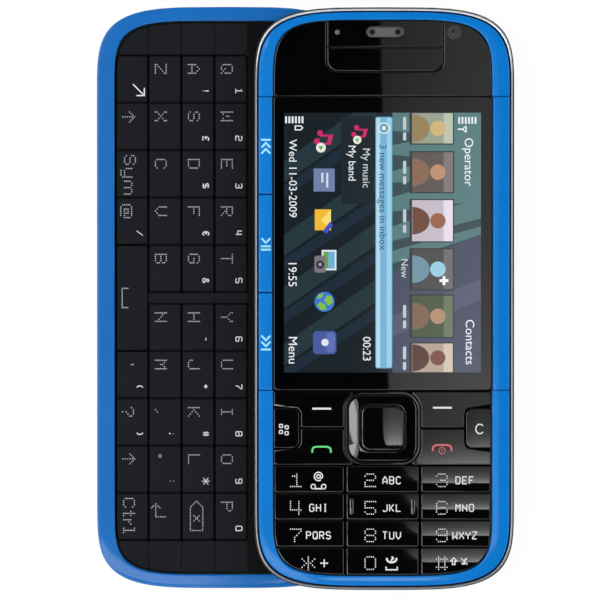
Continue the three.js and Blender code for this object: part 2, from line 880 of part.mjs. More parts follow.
function earpiece() {
  const row = length / 2 - earpieceRow;
  const panelBottom = faceTop - topPanelThickness;
  const reachX = earpieceBody / 2;
  const reachY = earpieceBodyWidth / 2;
  const left = earpieceOffset - reachX;
  const bodyShape = roundedRectangle(left, left + earpieceBody, row - reachY, row + reachY, seam);
  return joined([
    slab(bodyShape, sliderBoardTop + gap, panelBottom - gap),
    slab(earpieceShape(0), sliderBoardTop + gap, faceTop - faceDrop),
  ]);
}

function frontCamera() {
  const row = length / 2 - earpieceRow;
  return cut(disc(frontCameraOffset, row, frontCameraRadius, sliderBoardTop + gap, faceTop), [
    disc(frontCameraOffset, row, frontLensRadius, faceTop - frontLensDepth, faceTop + overrun),
  ]);
}

function lightSensor() {
  const row = length / 2 - earpieceRow;
  return disc(sensorOffset, row, sensorRadius, sliderBoardTop + gap, faceTop - faceDrop);
}

function displayWindow() {
  const left = faceLeft + seam;
  const right = faceRight - seam;
  const bottom = faceTop - windowThickness;
  return block(left, right, windowBottomEdge + seam, windowTopEdge - seam, bottom, faceTop);
}

function displayPanel() {
  const left = faceLeft + panelMargin;
  const right = faceRight - panelMargin;
  const front = windowBottomEdge + panelMargin;
  const back = windowTopEdge - panelMargin;
  const top = faceTop - windowThickness - gap;
  return block(left, right, front, back, top - panelThickness, top);
}

// A cell of the pad, shrunk by half a seam all round and kept inside the blue ring.
function padCell(left, right, front, back) {
  const cell = block(left + seam, right - seam, front + seam, back - seam, keyBottom, keyTop);
  const opening = phoneOutline(faceInset, openingExponent);
  return cell.intersect(slab(opening, keyBottom - overrun, keyTop + overrun));
}

// The two tab keys lie half in the soft keys and half in the call and end keys.
function tabSpace(side, clearance) {
  const reach = tabHeight / 2 + clearance;
  const left = side < 0 ? faceLeft - overrun : faceRight - tabWidth - clearance;
  const right = side < 0 ? faceLeft + tabWidth + clearance : faceRight + overrun;
  return block(left, right, navMiddle - reach, navMiddle + reach, keyBottom - overrun, keyTop + overrun);
}

function cornerKey(side, upper) {
  const left = side < 0 ? faceLeft : middleRight;
  const right = side < 0 ? middleLeft : faceRight;
  const front = upper ? navMiddle : navBottomEdge;
  const back = upper ? windowBottomEdge : navMiddle;
  return cut(padCell(left, right, front, back), [tabSpace(side, seam)]);
}

function tabKey(side) {
  const reach = tabHeight / 2;
  const left = side < 0 ? faceLeft : faceRight - tabWidth;
  const right = side < 0 ? faceLeft + tabWidth : faceRight;
  return padCell(left, right, navMiddle - reach, navMiddle + reach);
}

function selectShape(clearance) {
  const reachX = selectWidth / 2 + clearance;
  const reachY = selectHeight / 2 + clearance;
  const radius = selectRadius + clearance;
  const left = faceCentre - reachX;
  return roundedRectangle(left, faceCentre + reachX, navMiddle - reachY, navMiddle + reachY, radius);
}

function dpadRing() {
  const front = navBottomEdge + seam;
  const back = windowBottomEdge - seam;
  const outer = roundedRectangle(middleLeft + seam, middleRight - seam, front, back, dpadRadius);
  const ring = slab(outer, keyBottom + dpadLift, keyTop);
  return cut(ring, [slab(selectShape(gap), keyBottom - overrun, keyTop + overrun)]);
}

function selectKey() {
  return slab(selectShape(0), keyBottom, keyTop);
}

// Square ring below the direction pad that lets it tilt about two axes.
function dpadPivot() {
  const reach = pivotOuter / 2;
  const hole = pivotInner / 2;
  const bottom = sliderBoardTop + gap;
  const top = bottom + pivotThickness;
  const square = (half, low, high) => block(
    faceCentre - half, faceCentre + half, navMiddle - half, navMiddle + half, low, high,
  );
  return square(reach, bottom, top).subtract(square(hole, bottom - overrun, top + overrun));
}

function numberKey(row, column) {
  const edges = [faceLeft, middleLeft, middleRight, faceRight];
  const back = navBottomEdge - row * rowPitch;
  const last = row === numberRows - 1;
  const front = last ? back - bottomRow - overrun : back - rowPitch;
  return padCell(edges[column], edges[column + 1], front, back);
}

// The middle key has two upright ridges to find it by touch.
function markedKey() {
  const back = navBottomEdge - rowPitch;
  const middle = back - rowPitch / 2;
  const reachY = markRidgeLength / 2;
  const ridges = [middleLeft + markRidgeInset, middleRight - markRidgeInset].map((x) => {
    const reachX = markRidgeWidth / 2;
    return block(x - reachX, x + reachX, middle - reachY, middle + reachY, keyBottom, keyTop + markRidge);
  });
  return joined([numberKey(1, 1), ...ridges]);
}

function buildKeyboardHalf() {
  const half = new THREE.Group();
  add(half, 'rear_housing', rearHousing(), finishes.shellBlue);
  add(half, 'battery_cover', batteryCover(), finishes.softBlack);
  add(half, 'battery', battery(), finishes.battery);
  add(half, 'main_board', mainBoard(), finishes.board);
  add(half, 'keyboard_frame', keyboardFrame(), finishes.rimBlue);
  add(half, 'keyboard_deck', keyboardDeck(), finishes.softBlack);
  add(half, 'rear_camera', rearCamera(), finishes.lens);
  add(half, 'camera_window', cameraWindow(), finishes.windowBlack);
  add(half, 'flash_led', flashLed(), finishes.lamp);
  add(half, 'loudspeaker', loudspeaker(), finishes.glossBlack);
  add(half, 'usb_socket', usbSocket(), finishes.steel);
  add(half, 'usb_door', usbDoor(), finishes.shellBlue);
  add(half, 'headset_jack', headsetJack(), finishes.softBlack);
  add(half, 'volume_rocker', sideKey(rockerOffset, rockerLength, gap + seam), finishes.silver);
  add(half, 'camera_key', sideKey(cameraKeyOffset, cameraKeyLength, gap), finishes.silver);
  add(half, 'power_key', powerKey(), finishes.silver);
  add(half, 'slide_guide', slideGuide(), finishes.steel);
  add(half, 'slide_spring', slideSpring(), finishes.steel);
  const lastRow = 2 * rowsPerGroup - 1;
  add(half, 'qwerty_top_row', letterStrip(3, 0, lastRow), finishes.softBlack);
  add(half, 'qwerty_home_row', letterStrip(2, 0, lastRow), finishes.softBlack);
  add(half, 'qwerty_lower_row', letterStrip(1, 0, lastRow), finishes.softBlack);
  add(half, 'qwerty_bottom_left', letterStrip(0, 0, rowsPerGroup - 2), finishes.softBlack);
  add(half, 'space_bar', spaceBar(), finishes.softBlack);
  add(half, 'qwerty_bottom_right', letterStrip(0, rowsPerGroup + 1, lastRow), finishes.softBlack);
  return half;
}

function buildDisplayHalf() {
  const half = new THREE.Group();
  half.position.set(slideTravel, 0, 0);
  add(half, 'slider_back_cover', sliderBackCover(), finishes.softBlack);
  add(half, 'slide_rail', slideRail(), finishes.steel);
  add(half, 'chrome_trim', chromeTrim(), finishes.silver);
  add(half, 'slider_board', sliderBoard(), finishes.board);
  add(half, 'front_frame', frontFrame(), finishes.ringBlue);
  add(half, 'top_panel', topPanel(), finishes.glossBlack);
  add(half, 'earpiece', earpiece(), finishes.steel);
  add(half, 'front_camera', frontCamera(), finishes.lens);
  add(half, 'light_sensor', lightSensor(), finishes.lens);
  add(half, 'display_window', displayWindow(), finishes.windowBlack);
  add(half, 'display_panel', displayPanel(), finishes.glossBlack);
  add(half, 'right_accent_bar', stripPiece(1, windowBottomEdge, windowTopEdge), finishes.ringBlue);
  ['music_prev', 'music_play', 'music_next'].forEach((name, index) => {
    const back = windowTopEdge - index * stripKeyPitch;
    add(half, name, stripPiece(-1, back - stripKeyPitch, back), finishes.ringBlue);
  });
  add(half, 'dpad_pivot', dpadPivot(), finishes.softBlack);
  add(half, 'dpad_ring', dpadRing(), finishes.glossBlack);
  add(half, 'select_key', selectKey(), finishes.glossBlack);
  add(half, 'soft_key_left', cornerKey(-1, true), finishes.glossBlack);
  add(half, 'soft_key_right', cornerKey(1, true), finishes.glossBlack);
  add(half, 'call_key', cornerKey(-1, false), finishes.glossBlack);
  add(half, 'end_key', cornerKey(1, false), finishes.glossBlack);
  add(half, 'menu_key', tabKey(-1), finishes.glossBlack);
  add(half, 'clear_key', tabKey(1), finishes.glossBlack);
  const numberNames = ['1', '2', '3', '4', '5', '6', '7', '8', '9', 'star', '0', 'hash'];
  numberNames.forEach((name, index) => {
    const row = Math.floor(index / 3);
    const column = index % 3;
    const marked = row === 1 && column === 1;
    add(half, `key_${name}`, marked ? markedKey() : numberKey(row, column), finishes.glossBlack);
  });
  return half;
}

const phone = new THREE.Group();
phone.add(buildKeyboardHalf(), buildDisplayHalf());

export default phone;
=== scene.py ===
"""Side slider phone: the looks of every piece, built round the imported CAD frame."""
import math

import bpy
import numpy as np
from bpy.props import FloatProperty, FloatVectorProperty, IntProperty, PointerProperty
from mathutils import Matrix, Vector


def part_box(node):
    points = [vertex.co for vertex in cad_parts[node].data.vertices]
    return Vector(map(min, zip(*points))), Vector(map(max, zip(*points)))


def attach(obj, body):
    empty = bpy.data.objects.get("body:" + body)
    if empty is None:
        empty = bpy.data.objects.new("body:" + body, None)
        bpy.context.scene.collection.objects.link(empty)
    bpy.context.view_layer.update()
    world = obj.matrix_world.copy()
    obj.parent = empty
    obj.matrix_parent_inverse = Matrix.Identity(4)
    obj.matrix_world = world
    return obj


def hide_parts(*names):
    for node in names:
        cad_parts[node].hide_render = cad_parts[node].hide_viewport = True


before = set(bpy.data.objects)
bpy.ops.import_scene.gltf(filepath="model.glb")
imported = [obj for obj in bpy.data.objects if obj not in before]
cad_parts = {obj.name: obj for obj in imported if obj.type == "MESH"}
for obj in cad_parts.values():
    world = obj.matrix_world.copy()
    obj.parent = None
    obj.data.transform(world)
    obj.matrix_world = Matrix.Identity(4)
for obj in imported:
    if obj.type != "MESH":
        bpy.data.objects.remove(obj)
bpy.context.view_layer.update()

bl_info = {
    "name": "Side Slider Phone",
    "version": (1, 0, 0),
    "blender": (4, 5, 0),
    "location": "View3D > Sidebar > Phone",
    "description": "Builds the surfaces, legends and studio of a slider phone round its CAD frame",
    "category": "Object",
}

# Lengths below are in millimetres, as in the part's own source
MM = 0.001
WIDTH = 50.0
STRAIGHT = 38.7
END_CURVE = 17.3
OUTER_POWER = 4.0
OPENING_POWER = 4.7
TRAVEL = 30.25
TRIM_WIDTH = 0.95
SEAM = 0.15
RIM_INSET = (3.4, 3.4, 2.65, 2.65)
RING_INSET = (3.66, 4.26, 2.35, 2.75)
TAB_SIZE = (5.2, 7.9)
COLUMN_PITCH = 6.3625
LETTER_PITCH = 9.134
KEYS_END = 46.75
KEYS_LEFT = -21.45
CENTRE_BAR = 2.16
CAP_GAP = 0.4
EAR_SIZE = (7.0, 2.06)
# In the photo, the display half's middle and how many pixels a millimetre takes
PHOTO_MIDDLE = (383.75, 299.3)
PHOTO_SCALE = 5.19
# How deep prints stand in their surface, so that no gap shows under them
INK_DEPTH = 0.05
# Edges that bend by more than these stay sharp: on the surfaces, and on copies of a CAD node
PIECE_ANGLE = math.radians(38)
SHELL_ANGLE = math.radians(28)


def linear(red, green, blue):
    """A colour written as 0 to 255, as the linear numbers that a shader takes."""
    shares = [c / 255 for c in (red, green, blue)]
    return tuple(s / 12.92 if s <= 0.04045 else ((s + 0.055) / 1.055) ** 2.4 for s in shares)


def length_property(name, description, default):
    return FloatProperty(
        name=name, description=description, default=default, min=0, precision=5,
        unit="LENGTH", subtype="DISTANCE",
    )


def colour_property(name, description, default):
    return FloatVectorProperty(
        name=name, description=description, default=default, min=0, max=1, size=3, subtype="COLOR",
    )


class PhoneSizes(bpy.types.PropertyGroup):
    """Sizes of the surfaces, in metres"""

    rim_rounding: length_property("Rim rounding", "Radius of the blue rim's edges", 0.0003)
    rim_fall: length_property("Rim fall", "How far the blue rims fall towards the outside", 0.00014)
    trim_inset: length_property("Trim inset", "How far the silver trim stands back", 0.00024)
    trim_width: length_property("Trim width", "Width of the silver line seen from above", 0.00042)
    key_rounding: length_property("Key rounding", "Radius round the top of a pad key", 0.00019)
    key_crown: length_property("Key crown", "How far a number key rises in the middle", 0.000065)
    cap_rounding: length_property("Cap rounding", "Radius round the top of a letter cap", 0.0001)
    cap_crown: length_property("Cap crown", "How far a letter cap rises in the middle", 0.00004)
    select_crown: length_property("Select crown", "How far the select key rises", 0.00006)
    soft_key_fall: length_property("Soft key fall", "Fall of a soft key to the window", 0.0002)
    ring_fall: length_property("Ring fall", "How far the direction ring falls outwards", 0.00066)
    bevel: length_property("Bevel", "Width of the small bevels on shell pieces", 0.00008)
    ink_height: length_property("Ink height", "How far printed characters stand up", 0.000012)
    ink_width: length_property("Ink width", "Width of a printed line", 0.00023)
    dot_radius: length_property("Dot radius", "Radius of one dot of a dotted character", 0.000125)
    dot_pitch: length_property("Dot pitch", "From dot to dot along a dotted letter", 0.00041)
    dot_rise: length_property("Dot rise", "From dot to dot up a dotted letter", 0.000347)
    digit_pitch: length_property("Digit pitch", "From dot to dot in a dotted digit", 0.0004)
    around: IntProperty(
        name="Steps round a key", description="Points round a key's outline", default=168, min=24,
    )


class PhoneColours(bpy.types.PropertyGroup):
    """Colours of lacquers, plastics, metals and prints"""

    rim: colour_property("Rim blue", "Lacquer round the keyboard", linear(13, 107, 188))
    ring: colour_property("Ring blue", "Lacquer round the display", linear(0, 121, 207))
    shell: colour_property("Shell blue", "Paint of the rear housing", linear(20, 92, 170))
    letter_cap: colour_property("Letter cap", "Letter caps and their deck", linear(25, 27, 32))
    pad: colour_property("Pad black", "Polished number pad", linear(5, 5, 7))
    window: colour_property("Window black", "Hard window round the display", linear(3, 4, 6))
    cover: colour_property("Cover black", "Soft black back pieces", linear(30, 31, 34))
    silver: colour_property("Silver", "Plated side keys", linear(214, 216, 220))
    trim: colour_property("Trim", "Plated line round the display half", linear(122, 124, 128))
    steel: colour_property("Steel", "Sheet steel of the slide", linear(176, 178, 182))
    ink: colour_property("Ink", "Light characters", linear(226, 228, 230))
    call: colour_property("Call green", "Mark of the call key", linear(70, 220, 110))
    end: colour_property("End red", "Mark of the end key", linear(214, 88, 94))


def sizes():
    """The panel's sizes, in metres."""
    return bpy.context.scene.phone_sizes


def colours():
    """The panel's colours."""
    return bpy.context.scene.phone_colours


def mm(value):
    """A size of the panel, in millimetres."""
    return value / MM


def node_box(name):
    """Lowest and highest corner of a CAD node, in millimetres."""
    low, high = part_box(name)
    return np.array(low) / MM, np.array(high) / MM


def middle_of(name):
    """Middle of a CAD node seen from above."""
    low, high = node_box(name)
    return (low[:2] + high[:2]) / 2


def from_photo(across, down):
    """Where a pixel of the photo lies on the display half: (pixel - middle) / scale."""
    return (
        TRAVEL + (across - PHOTO_MIDDLE[0]) / PHOTO_SCALE, (PHOTO_MIDDLE[1] - down) / PHOTO_SCALE,
    )


def run_length(x, y):
    """Length along a line up to each of its points: the running sum of its steps' lengths."""
    return np.concatenate(([0], np.cumsum(np.hypot(np.diff(x), np.diff(y)))))


def on_rays(centre, angles, away):
    """Coordinates of points on rays: centre + away * (cos, sin)."""
    return centre[0] + away * np.cos(angles), centre[1] + away * np.sin(angles)


def set_down(along, up, middle, turned):
    """Points along and up from a middle. Turned ones read towards -y with their tops towards +x."""
    if turned:
        return np.stack([middle[0] + up, middle[1] - along], -1)
    return np.stack([middle[0] + along, middle[1] + up], -1)


def at_lengths(line, lengths):
    """Points of a line at some lengths along it."""
    run = run_length(*line.T)
    return np.stack([np.interp(lengths, run, axis) for axis in line.T], -1)


# Materials
def set_inputs(tree, node, values):
    """Links each named input where its value is a socket, and writes the value otherwise."""
    for key, value in values.items():
        if isinstance(value, bpy.types.NodeSocket):
            tree.links.new(value, node.inputs[key])
        else:
            node.inputs[key].default_value = value
    return node


def add_node(tree, kind, values=None, **settings):
    """A shader node with its settings, and values or links for its inputs."""
    node = tree.nodes.new("ShaderNode" + kind)
    for key, value in settings.items():
        setattr(node, key, value)
    return set_inputs(tree, node, values or {})


def changed(material, values):
    """The finish with some of its shader's inputs changed."""
    tree = material.node_tree
    set_inputs(tree, tree.nodes["Principled BSDF"], values)
    return material


def object_vector(tree, scale=(1, 1, 1)):
    """Object coordinates, scaled along each axis."""
    place = add_node(tree, "TexCoord").outputs["Object"]
    return add_node(tree, "Mapping", {"Scale": scale, "Vector": place}).outputs["Vector"]


def noise(tree, vector, scale, detail=3.0):
    """Noise with a feature size of about 1 / scale millimetres."""
    values = {"Scale": scale / MM, "Detail": detail, "Vector": vector}
    return add_node(tree, "TexNoise", values).outputs["Fac"]


def spread(tree, value, low, high, first=0.3, last=0.7):
    """Maps first..last, by default the middle of a noise's range, to low..high."""
    values = {"From Min": first, "From Max": last, "To Min": low, "To Max": high, "Value": value}
    return add_node(tree, "MapRange", values).outputs["Result"]


def mixed_colour(tree, first, second, share):
    """The first colour with a share of the second."""
    values = {"A": first, "B": second, "Factor": share}
    return add_node(tree, "Mix", values, data_type="RGBA").outputs["Result"]


def finish(
    name, colour, roughness, metallic=0.0, coat=0.0, specular=0.5, stretch=(1, 1, 1),
    blotch=0.15, wander=0.06, grain=4.0, grain_height=0.0, rough_wander=0.12,
):
    """A surface whose colour wanders by wander and its roughness by rough_wander of themselves over
    soft blotches, with a fine grain that stands grain_height millimetres deep."""
    material = bpy.data.materials.new(name)
    material.use_nodes = True
    tree = material.node_tree
    vector = object_vector(tree, stretch)
    soft = spread(tree, noise(tree, vector, blotch), 0.0, 0.6)
    fine = noise(tree, vector, grain, 2.0)
    blend = add_node(tree, "Math", {0: soft, 1: spread(tree, fine, 0.0, 0.4)}, operation="ADD")
    dark = (*[c * (1 - wander) for c in colour], 1)
    light = (*[min(c * (1 + wander) + wander * 0.004, 1) for c in colour], 1)
    values = {
        "Base Color": mixed_colour(tree, dark, light, blend.outputs[0]), "Metallic": metallic,
        "Coat Weight": coat, "Coat Roughness": 0.06, "Specular IOR Level": specular,
        "Roughness": spread(
            tree, fine, roughness * (1 - rough_wander), roughness * (1 + rough_wander)
        ),
    }
    if grain_height:
        relief = {"Strength": 1.0, "Distance": grain_height * MM, "Height": fine}
        values["Normal"] = add_node(tree, "Bump", relief).outputs["Normal"]
    return changed(material, values)


def dotted_metal(name, colour, pitch):
    """Woven grille: a small cell pattern whose holes are dark."""
    material = finish(name, colour, 0.35, metallic=0.7, grain=3.0)
    tree = material.node_tree
    values = {"Scale": 1 / (pitch * MM), "Randomness": 0.0, "Vector": object_vector(tree)}
    cells = add_node(tree, "TexVoronoi", values).outputs["Distance"]
    ramp = add_node(tree, "ValToRGB", {"Fac": cells})
    hole, wire = ramp.color_ramp.elements
    hole.position, hole.color = 0.22, (0.004, 0.004, 0.005, 1)
    wire.position, wire.color = 0.36, (*colour, 1)
    return changed(material, {"Base Color": ramp.outputs["Color"]})


def circuit_finish(name):
    """Green board with a fine field of lighter tracks and pads."""
    material = finish(name, linear(18, 84, 48), 0.4, wander=0.2, grain=2.0)
    tree = material.node_tree
    bricks = add_node(tree, "TexBrick", {
        "Color1": (*linear(20, 92, 52), 1), "Color2": (*linear(14, 70, 42), 1), "Scale": 300,
        "Mortar": (*linear(120, 150, 90), 1), "Mortar Size": 0.012, "Vector": object_vector(tree),
    })
    return changed(material, {"Base Color": bricks.outputs["Color"]})


def plated_line_with_painted_highlight(name):
    """Silver plating of the line round the display half, with a painted highlight at the half's top
    end:
    over the last 12 mm before that end its colour is mixed with nearly white by the Y coordinate."""
    material = finish(name, colours().trim, 0.36, metallic=0.8, wander=0.03, grain=1.5)
    tree = material.node_tree
    plain = tree.nodes["Principled BSDF"].inputs["Base Color"].links[0].from_socket
    # Painted highlight: the plain plating colour goes over to nearly white between y = 43 and 55 mm
    place = add_node(tree, "SeparateXYZ", {0: add_node(tree, "TexCoord").outputs["Object"]})
    share = spread(tree, place.outputs["Y"], 0, 1, 0.043, 0.055)
    return changed(material, {"Base Color": mixed_colour(tree, plain, (0.78, 0.79, 0.8, 1), share)})


def picture_finish(name):
    """Lit picture behind the window: the mesh's own colours glow under the window's gloss."""
    material = finish(name, (0.002, 0.002, 0.003), 0.05, rough_wander=0.3)
    attribute = add_node(material.node_tree, "Attribute", attribute_name="picture")
    return changed(
        material, {"Emission Color": attribute.outputs["Color"], "Emission Strength": 1.0}
    )


MATERIALS = {}


def make_materials():
    """Fills MATERIALS with every finish of the phone."""
    c = colours()
    MATERIALS.update(
        rim=finish("rim_lacquer", c.rim, 0.4, specular=0.06, coat=0.35, grain=14, wander=0.08),
        ring=finish("ring_lacquer", c.ring, 0.4, specular=0.03, coat=0.28, grain=14, wander=0.06),
        shell=finish(
            "shell_paint", c.shell, 0.46, coat=0.2, grain=9, wander=0.08, grain_height=0.002
        ),
        cap=finish(
            "letter_cap_plastic", c.letter_cap, 0.5, specular=0.03, grain=12, grain_height=0.004
        ),
        # Near-black deck: dark joints between the charcoal fields, and painted shade on the strip
        # right of the letter keys, which no field covers
        deck=finish(
            "deck_joints_and_painted_shade", linear(7, 8, 10), 0.55, specular=0.04, grain=9, grain_height=0.004
        ),
        mat=finish("rubber_mat", linear(6, 6, 7), 0.8, specular=0.1, grain=6, grain_height=0.01),
        pad=finish("pad_polish", c.pad, 0.02, specular=0.5, wander=0.2, blotch=0.4),
        window=finish("window_polish", c.window, 0.012, specular=0.5, wander=0.15, blotch=0.1),
        cover=finish("soft_black", c.cover, 0.6, specular=0.35, grain=5, grain_height=0.012),
        # silver: the plated line, with a painted highlight at the display half's top end
        silver=plated_line_with_painted_highlight("silver_plating_painted_highlight"),
        satin=finish(
            "satin_plating", c.silver, 0.32, metallic=1.0, stretch=(1, 0.08, 1), grain=18,
            grain_height=0.002,
        ),
        steel=finish(
            "rolled_steel", c.steel, 0.34, metallic=1.0, stretch=(0.05, 1, 1), grain=14,
            grain_height=0.003,
        ),
        board=circuit_finish("circuit_board"),
        wrap=finish("battery_wrap", linear(52, 54, 60), 0.5, grain=3, grain_height=0.006),
        jack=finish("socket_plastic", linear(22, 22, 24), 0.45, grain=8, grain_height=0.003),
        lens=finish("lens_glass", linear(8, 10, 16), 0.04, specular=0.9, wander=0.3, blotch=0.8),
        lamp=finish("lamp_lens", linear(238, 232, 205), 0.15, coat=0.8, grain=3, grain_height=0.02),
        sensor=finish("sensor_glass", linear(98, 100, 104), 0.25, coat=0.5, blotch=1.5, wander=0.4),
        camera_rim=finish("camera_rim", linear(42, 42, 45), 0.3, coat=0.2, blotch=1.2, wander=0.25),
        grille=dotted_metal("ear_grille", linear(104, 102, 102), 0.24),
        ink=finish("light_ink", c.ink, 0.45, wander=0.05, grain=6),
        soft_ink=finish("letter_ink", linear(176, 179, 182), 0.5, wander=0.06, grain=6),
        mark=finish("pale_blue_ink", linear(150, 226, 250), 0.45, wander=0.05, grain=6),
        call=finish("green_ink", c.call, 0.4, wander=0.06, grain=6),
        end=finish("red_ink", c.end, 0.4, wander=0.06, grain=6),
        picture=picture_finish("lit_picture"),
    )


# Surfaces: a part is an array of points in millimetres and a list of face arrays
def loft(rings, closed=False):
    """Skin over a stack of rings, one row of points each, anticlockwise seen from the last one.
    A closed stack joins its last ring to its first, and an open one gets a lid at each end."""
    count, around = rings.shape[:2]
    index = np.arange(count * around).reshape(count, around)
    lower = index if closed else index[:-1]
    upper = np.roll(index, -1, axis=0) if closed else index[1:]
    sides = [lower, np.roll(lower, -1, 1), np.roll(upper, -1, 1), upper]
    faces = [np.stack(sides, -1).reshape(-1, 4)]
    if not closed:
        faces += [index[:1, ::-1], index[-1:]]
    return rings.reshape(-1, 3), faces


def add_piece(name, body, parts, material, stands_for=(), shades=None):
    """Joins closed parts into one piece that rides on a body, and shades it smooth up to an angle.
    material is a name in MATERIALS, and shades holds one colour for each part, kept as the mesh's
    own picture colours."""
    corners, counts, offset = [], [], 0
    for points, faces in parts:
        for rows in faces:
            corners.append((rows + offset).ravel())
            counts.append(np.full(len(rows), rows.shape[1]))
        offset += len(points)
    corners = np.concatenate(corners)
    counts = np.concatenate(counts)
    mesh = bpy.data.meshes.new(name)
    mesh.vertices.add(offset)
    mesh.vertices.foreach_set("co", (np.concatenate([p for p, _ in parts]) * MM).ravel())
    mesh.loops.add(len(corners))
    mesh.loops.foreach_set("vertex_index", corners)
    mesh.polygons.add(len(counts))
    mesh.polygons.foreach_set("loop_start", np.concatenate(([0], np.cumsum(counts)[:-1])))
    mesh.update(calc_edges=True)
    mesh.validate()
    mesh.shade_smooth()
    mesh.set_sharp_from_angle(angle=PIECE_ANGLE)
    if shades is not None:
        layer = mesh.color_attributes.new("picture", "FLOAT_COLOR", "POINT")
        lengths = [len(points) for points, _ in parts]
        rows = np.repeat([(*shade, 1.0) for shade in shades], lengths, axis=0)
        layer.data.foreach_set("color", rows.ravel())
    mesh.materials.append(MATERIALS[material])
    piece = bpy.data.objects.new(name, mesh)
    bpy.context.scene.collection.objects.link(piece)
    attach(piece, body)
    if stands_for:
        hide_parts(*stands_for)
    return piece


def dressed(node, body, material, slot, bevel=None):
    """A merged copy of a CAD node with whole flat faces, shaded smooth, its edges bevelled."""
    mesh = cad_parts[node].data.copy()
    mesh.name = node + "_shell"
    piece = bpy.data.objects.new(node + "_shell", mesh)
    bpy.context.scene.collection.objects.link(piece)
    weld = piece.modifiers.new("weld", "WELD")
    weld.merge_threshold = 0.000002
    flat = piece.modifiers.new("flat", "DECIMATE")
    flat.decimate_type = "DISSOLVE"
    flat.angle_limit = math.radians(0.2)
    graph = bpy.context.evaluated_depsgraph_get()
    merged = bpy.data.meshes.new_from_object(piece.evaluated_get(graph))
    piece.modifiers.clear()
    piece.data = merged
    merged.shade_smooth()
    merged.set_sharp_from_angle(angle=SHELL_ANGLE)
    edges = piece.modifiers.new("edges", "BEVEL")
    edges.width = sizes().bevel if bevel is None else bevel
    edges.segments = 2
    edges.limit_method = "ANGLE"
    edges.angle_limit = math.radians(40)
    edges.harden_normals = True
    merged.materials.clear()
    merged.materials.append(MATERIALS[material])
    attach(piece, body)
    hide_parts(node)
    return piece


def paint(node, material):
    """A CAD node keeps its shape and gets a better material."""
    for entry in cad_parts[node].material_slots:
        entry.material = MATERIALS[material]


# Outlines of the two halves
def stations(side_rows):
    """Where a section stands round the outline: quarter curves and rows of the sides.
    Returns signed shares across, signed shares up and the row that up starts at."""
    steps = 56
    angle = np.linspace(0, math.pi / 2, 6000)
    x = WIDTH / 2 * np.cos(angle).clip(0) ** (2 / OUTER_POWER)
    y = END_CURVE * np.sin(angle) ** (2 / OUTER_POWER)
    run = run_length(x, y)
    quarter = np.interp(np.linspace(0, run[-1], steps + 1)[2:], run, angle)
    back = quarter[-2::-1]
    rows = np.array(side_rows, float)
    flat = np.zeros(len(rows))
    across = np.concatenate([
        flat + 1, np.cos(quarter), -np.cos(back), flat - 1, -np.cos(quarter), np.cos(back),
    ])
    up = np.concatenate([
        flat, np.sin(quarter), np.sin(back), flat, -np.sin(quarter), -np.sin(back),
    ])
    curve = np.full(2 * len(quarter) - 1, STRAIGHT)
    start = np.concatenate([rows, curve, rows[::-1], -curve])
    return across, up, start


def outline(inset, power, places, shift):
    """Outline moved in by (left, right, top, bottom): x = centre + half width * cos^(2/n) and
    y = straight + end reach * sin^(2/n), with n the power."""
    left, right, top, bottom = inset
    across, up, start = places
    half = (WIDTH - left - right) / 2
    reach = END_CURVE - np.where(up < 0, bottom, top)
    x = shift + (left - right) / 2 + half * np.sign(across) * np.abs(across) ** (2 / power)
    return np.stack([x, start + reach * np.sign(up) * np.abs(up) ** (2 / power)], -1)


def band(outer, inner, section, places, shift=0.0, step_down=None):
    """A section carried round the outline. A row is (share, inset, height): share 0 lies on the
    outer outline and 1 on the opening, and inset moves it further in. step_down is a rule that
    lowers heights."""
    rings = []
    for share, further, height in section:
        inset = tuple((1 - share) * a + share * b + further for a, b in zip(outer, inner))
        power = OUTER_POWER + share * (OPENING_POWER - OUTER_POWER)
        flat = outline(inset, power, places, shift)
        level = np.full((len(flat), 1), height)
        if step_down is not None:
            level = step_down(level, places)
        rings.append(np.hstack([flat, level]))
    return loft(np.array(rings), closed=True)


def quarter_edge(share, side, top, radius, rising=True, steps=5):
    """Rows of a section's rounded edge: radius * (1 - cos t) in, radius * (1 - sin t) down."""
    turn = np.linspace(0, math.pi / 2, steps)
    rows = [
        (share, side * radius * (1 - math.cos(t)), top - radius * (1 - math.sin(t))) for t in turn
    ]
    return rows if rising else rows[::-1]


def sloped_section(low, top, radius, fall, inner_low, under=()):
    """Section of a rim: outer wall, rounded edge, a top that falls outwards by fall times
    (1 - share)^2, rounded inner edge and inner wall."""
    rows = [(0, 0, low), *quarter_edge(0, 1, top - fall, radius)]
    rows.append((0, radius + 0.04, top - fall))
    for share in (0.2, 0.35, 0.5, 0.65, 0.8):
        rows.append((share, 0, top - fall * (1 - share) ** 2))
    rows.append((1, -radius * 0.9 - 0.04, top))
    rows += quarter_edge(1, -1, top, radius * 0.9, rising=False)
    return [*rows, (1, 0, inner_low), *under]


def tube_section(low, top, near, far, radius, steps=7):
    """Section of a band whose top edges are both rounded: near and far are its insets."""
    rows = [(0, near, low)]
    rows += [(0, near + inset, z) for _, inset, z in quarter_edge(0, 1, top, radius, steps=steps)]
    rows += [(0, far - inset, z) for _, inset, z in quarter_edge(0, 1, top, radius, False, steps)]
    return [*rows, (0, far, low)]


# Distances to outlines, negative inside, for shapes solved by rays
def rounded_box(left, right, front, back, radius):
    """Distance to a rounded rectangle: the length past its core, less the radius."""
    middle = (left + right) / 2, (front + back) / 2
    half = (right - left) / 2 - radius, (back - front) / 2 - radius

    def distance(x, y):
        over_x = np.abs(x - middle[0]) - half[0]
        over_y = np.abs(y - middle[1]) - half[1]
        outside = np.hypot(np.maximum(over_x, 0), np.maximum(over_y, 0))
        return outside + np.minimum(np.maximum(over_x, over_y), 0) - radius

    return distance


def box_about(middle, half, radius):
    """Distance to a rounded rectangle of some half sizes about its middle."""
    return rounded_box(
        middle[0] - half[0], middle[0] + half[0], middle[1] - half[1], middle[1] + half[1], radius
    )


def box_over(name, across, along, radius):
    """Distance to a rounded rectangle over a CAD node, grown across and along."""
    low, high = node_box(name)
    return rounded_box(low[0] - across, high[0] + across, low[1] - along, high[1] + along, radius)


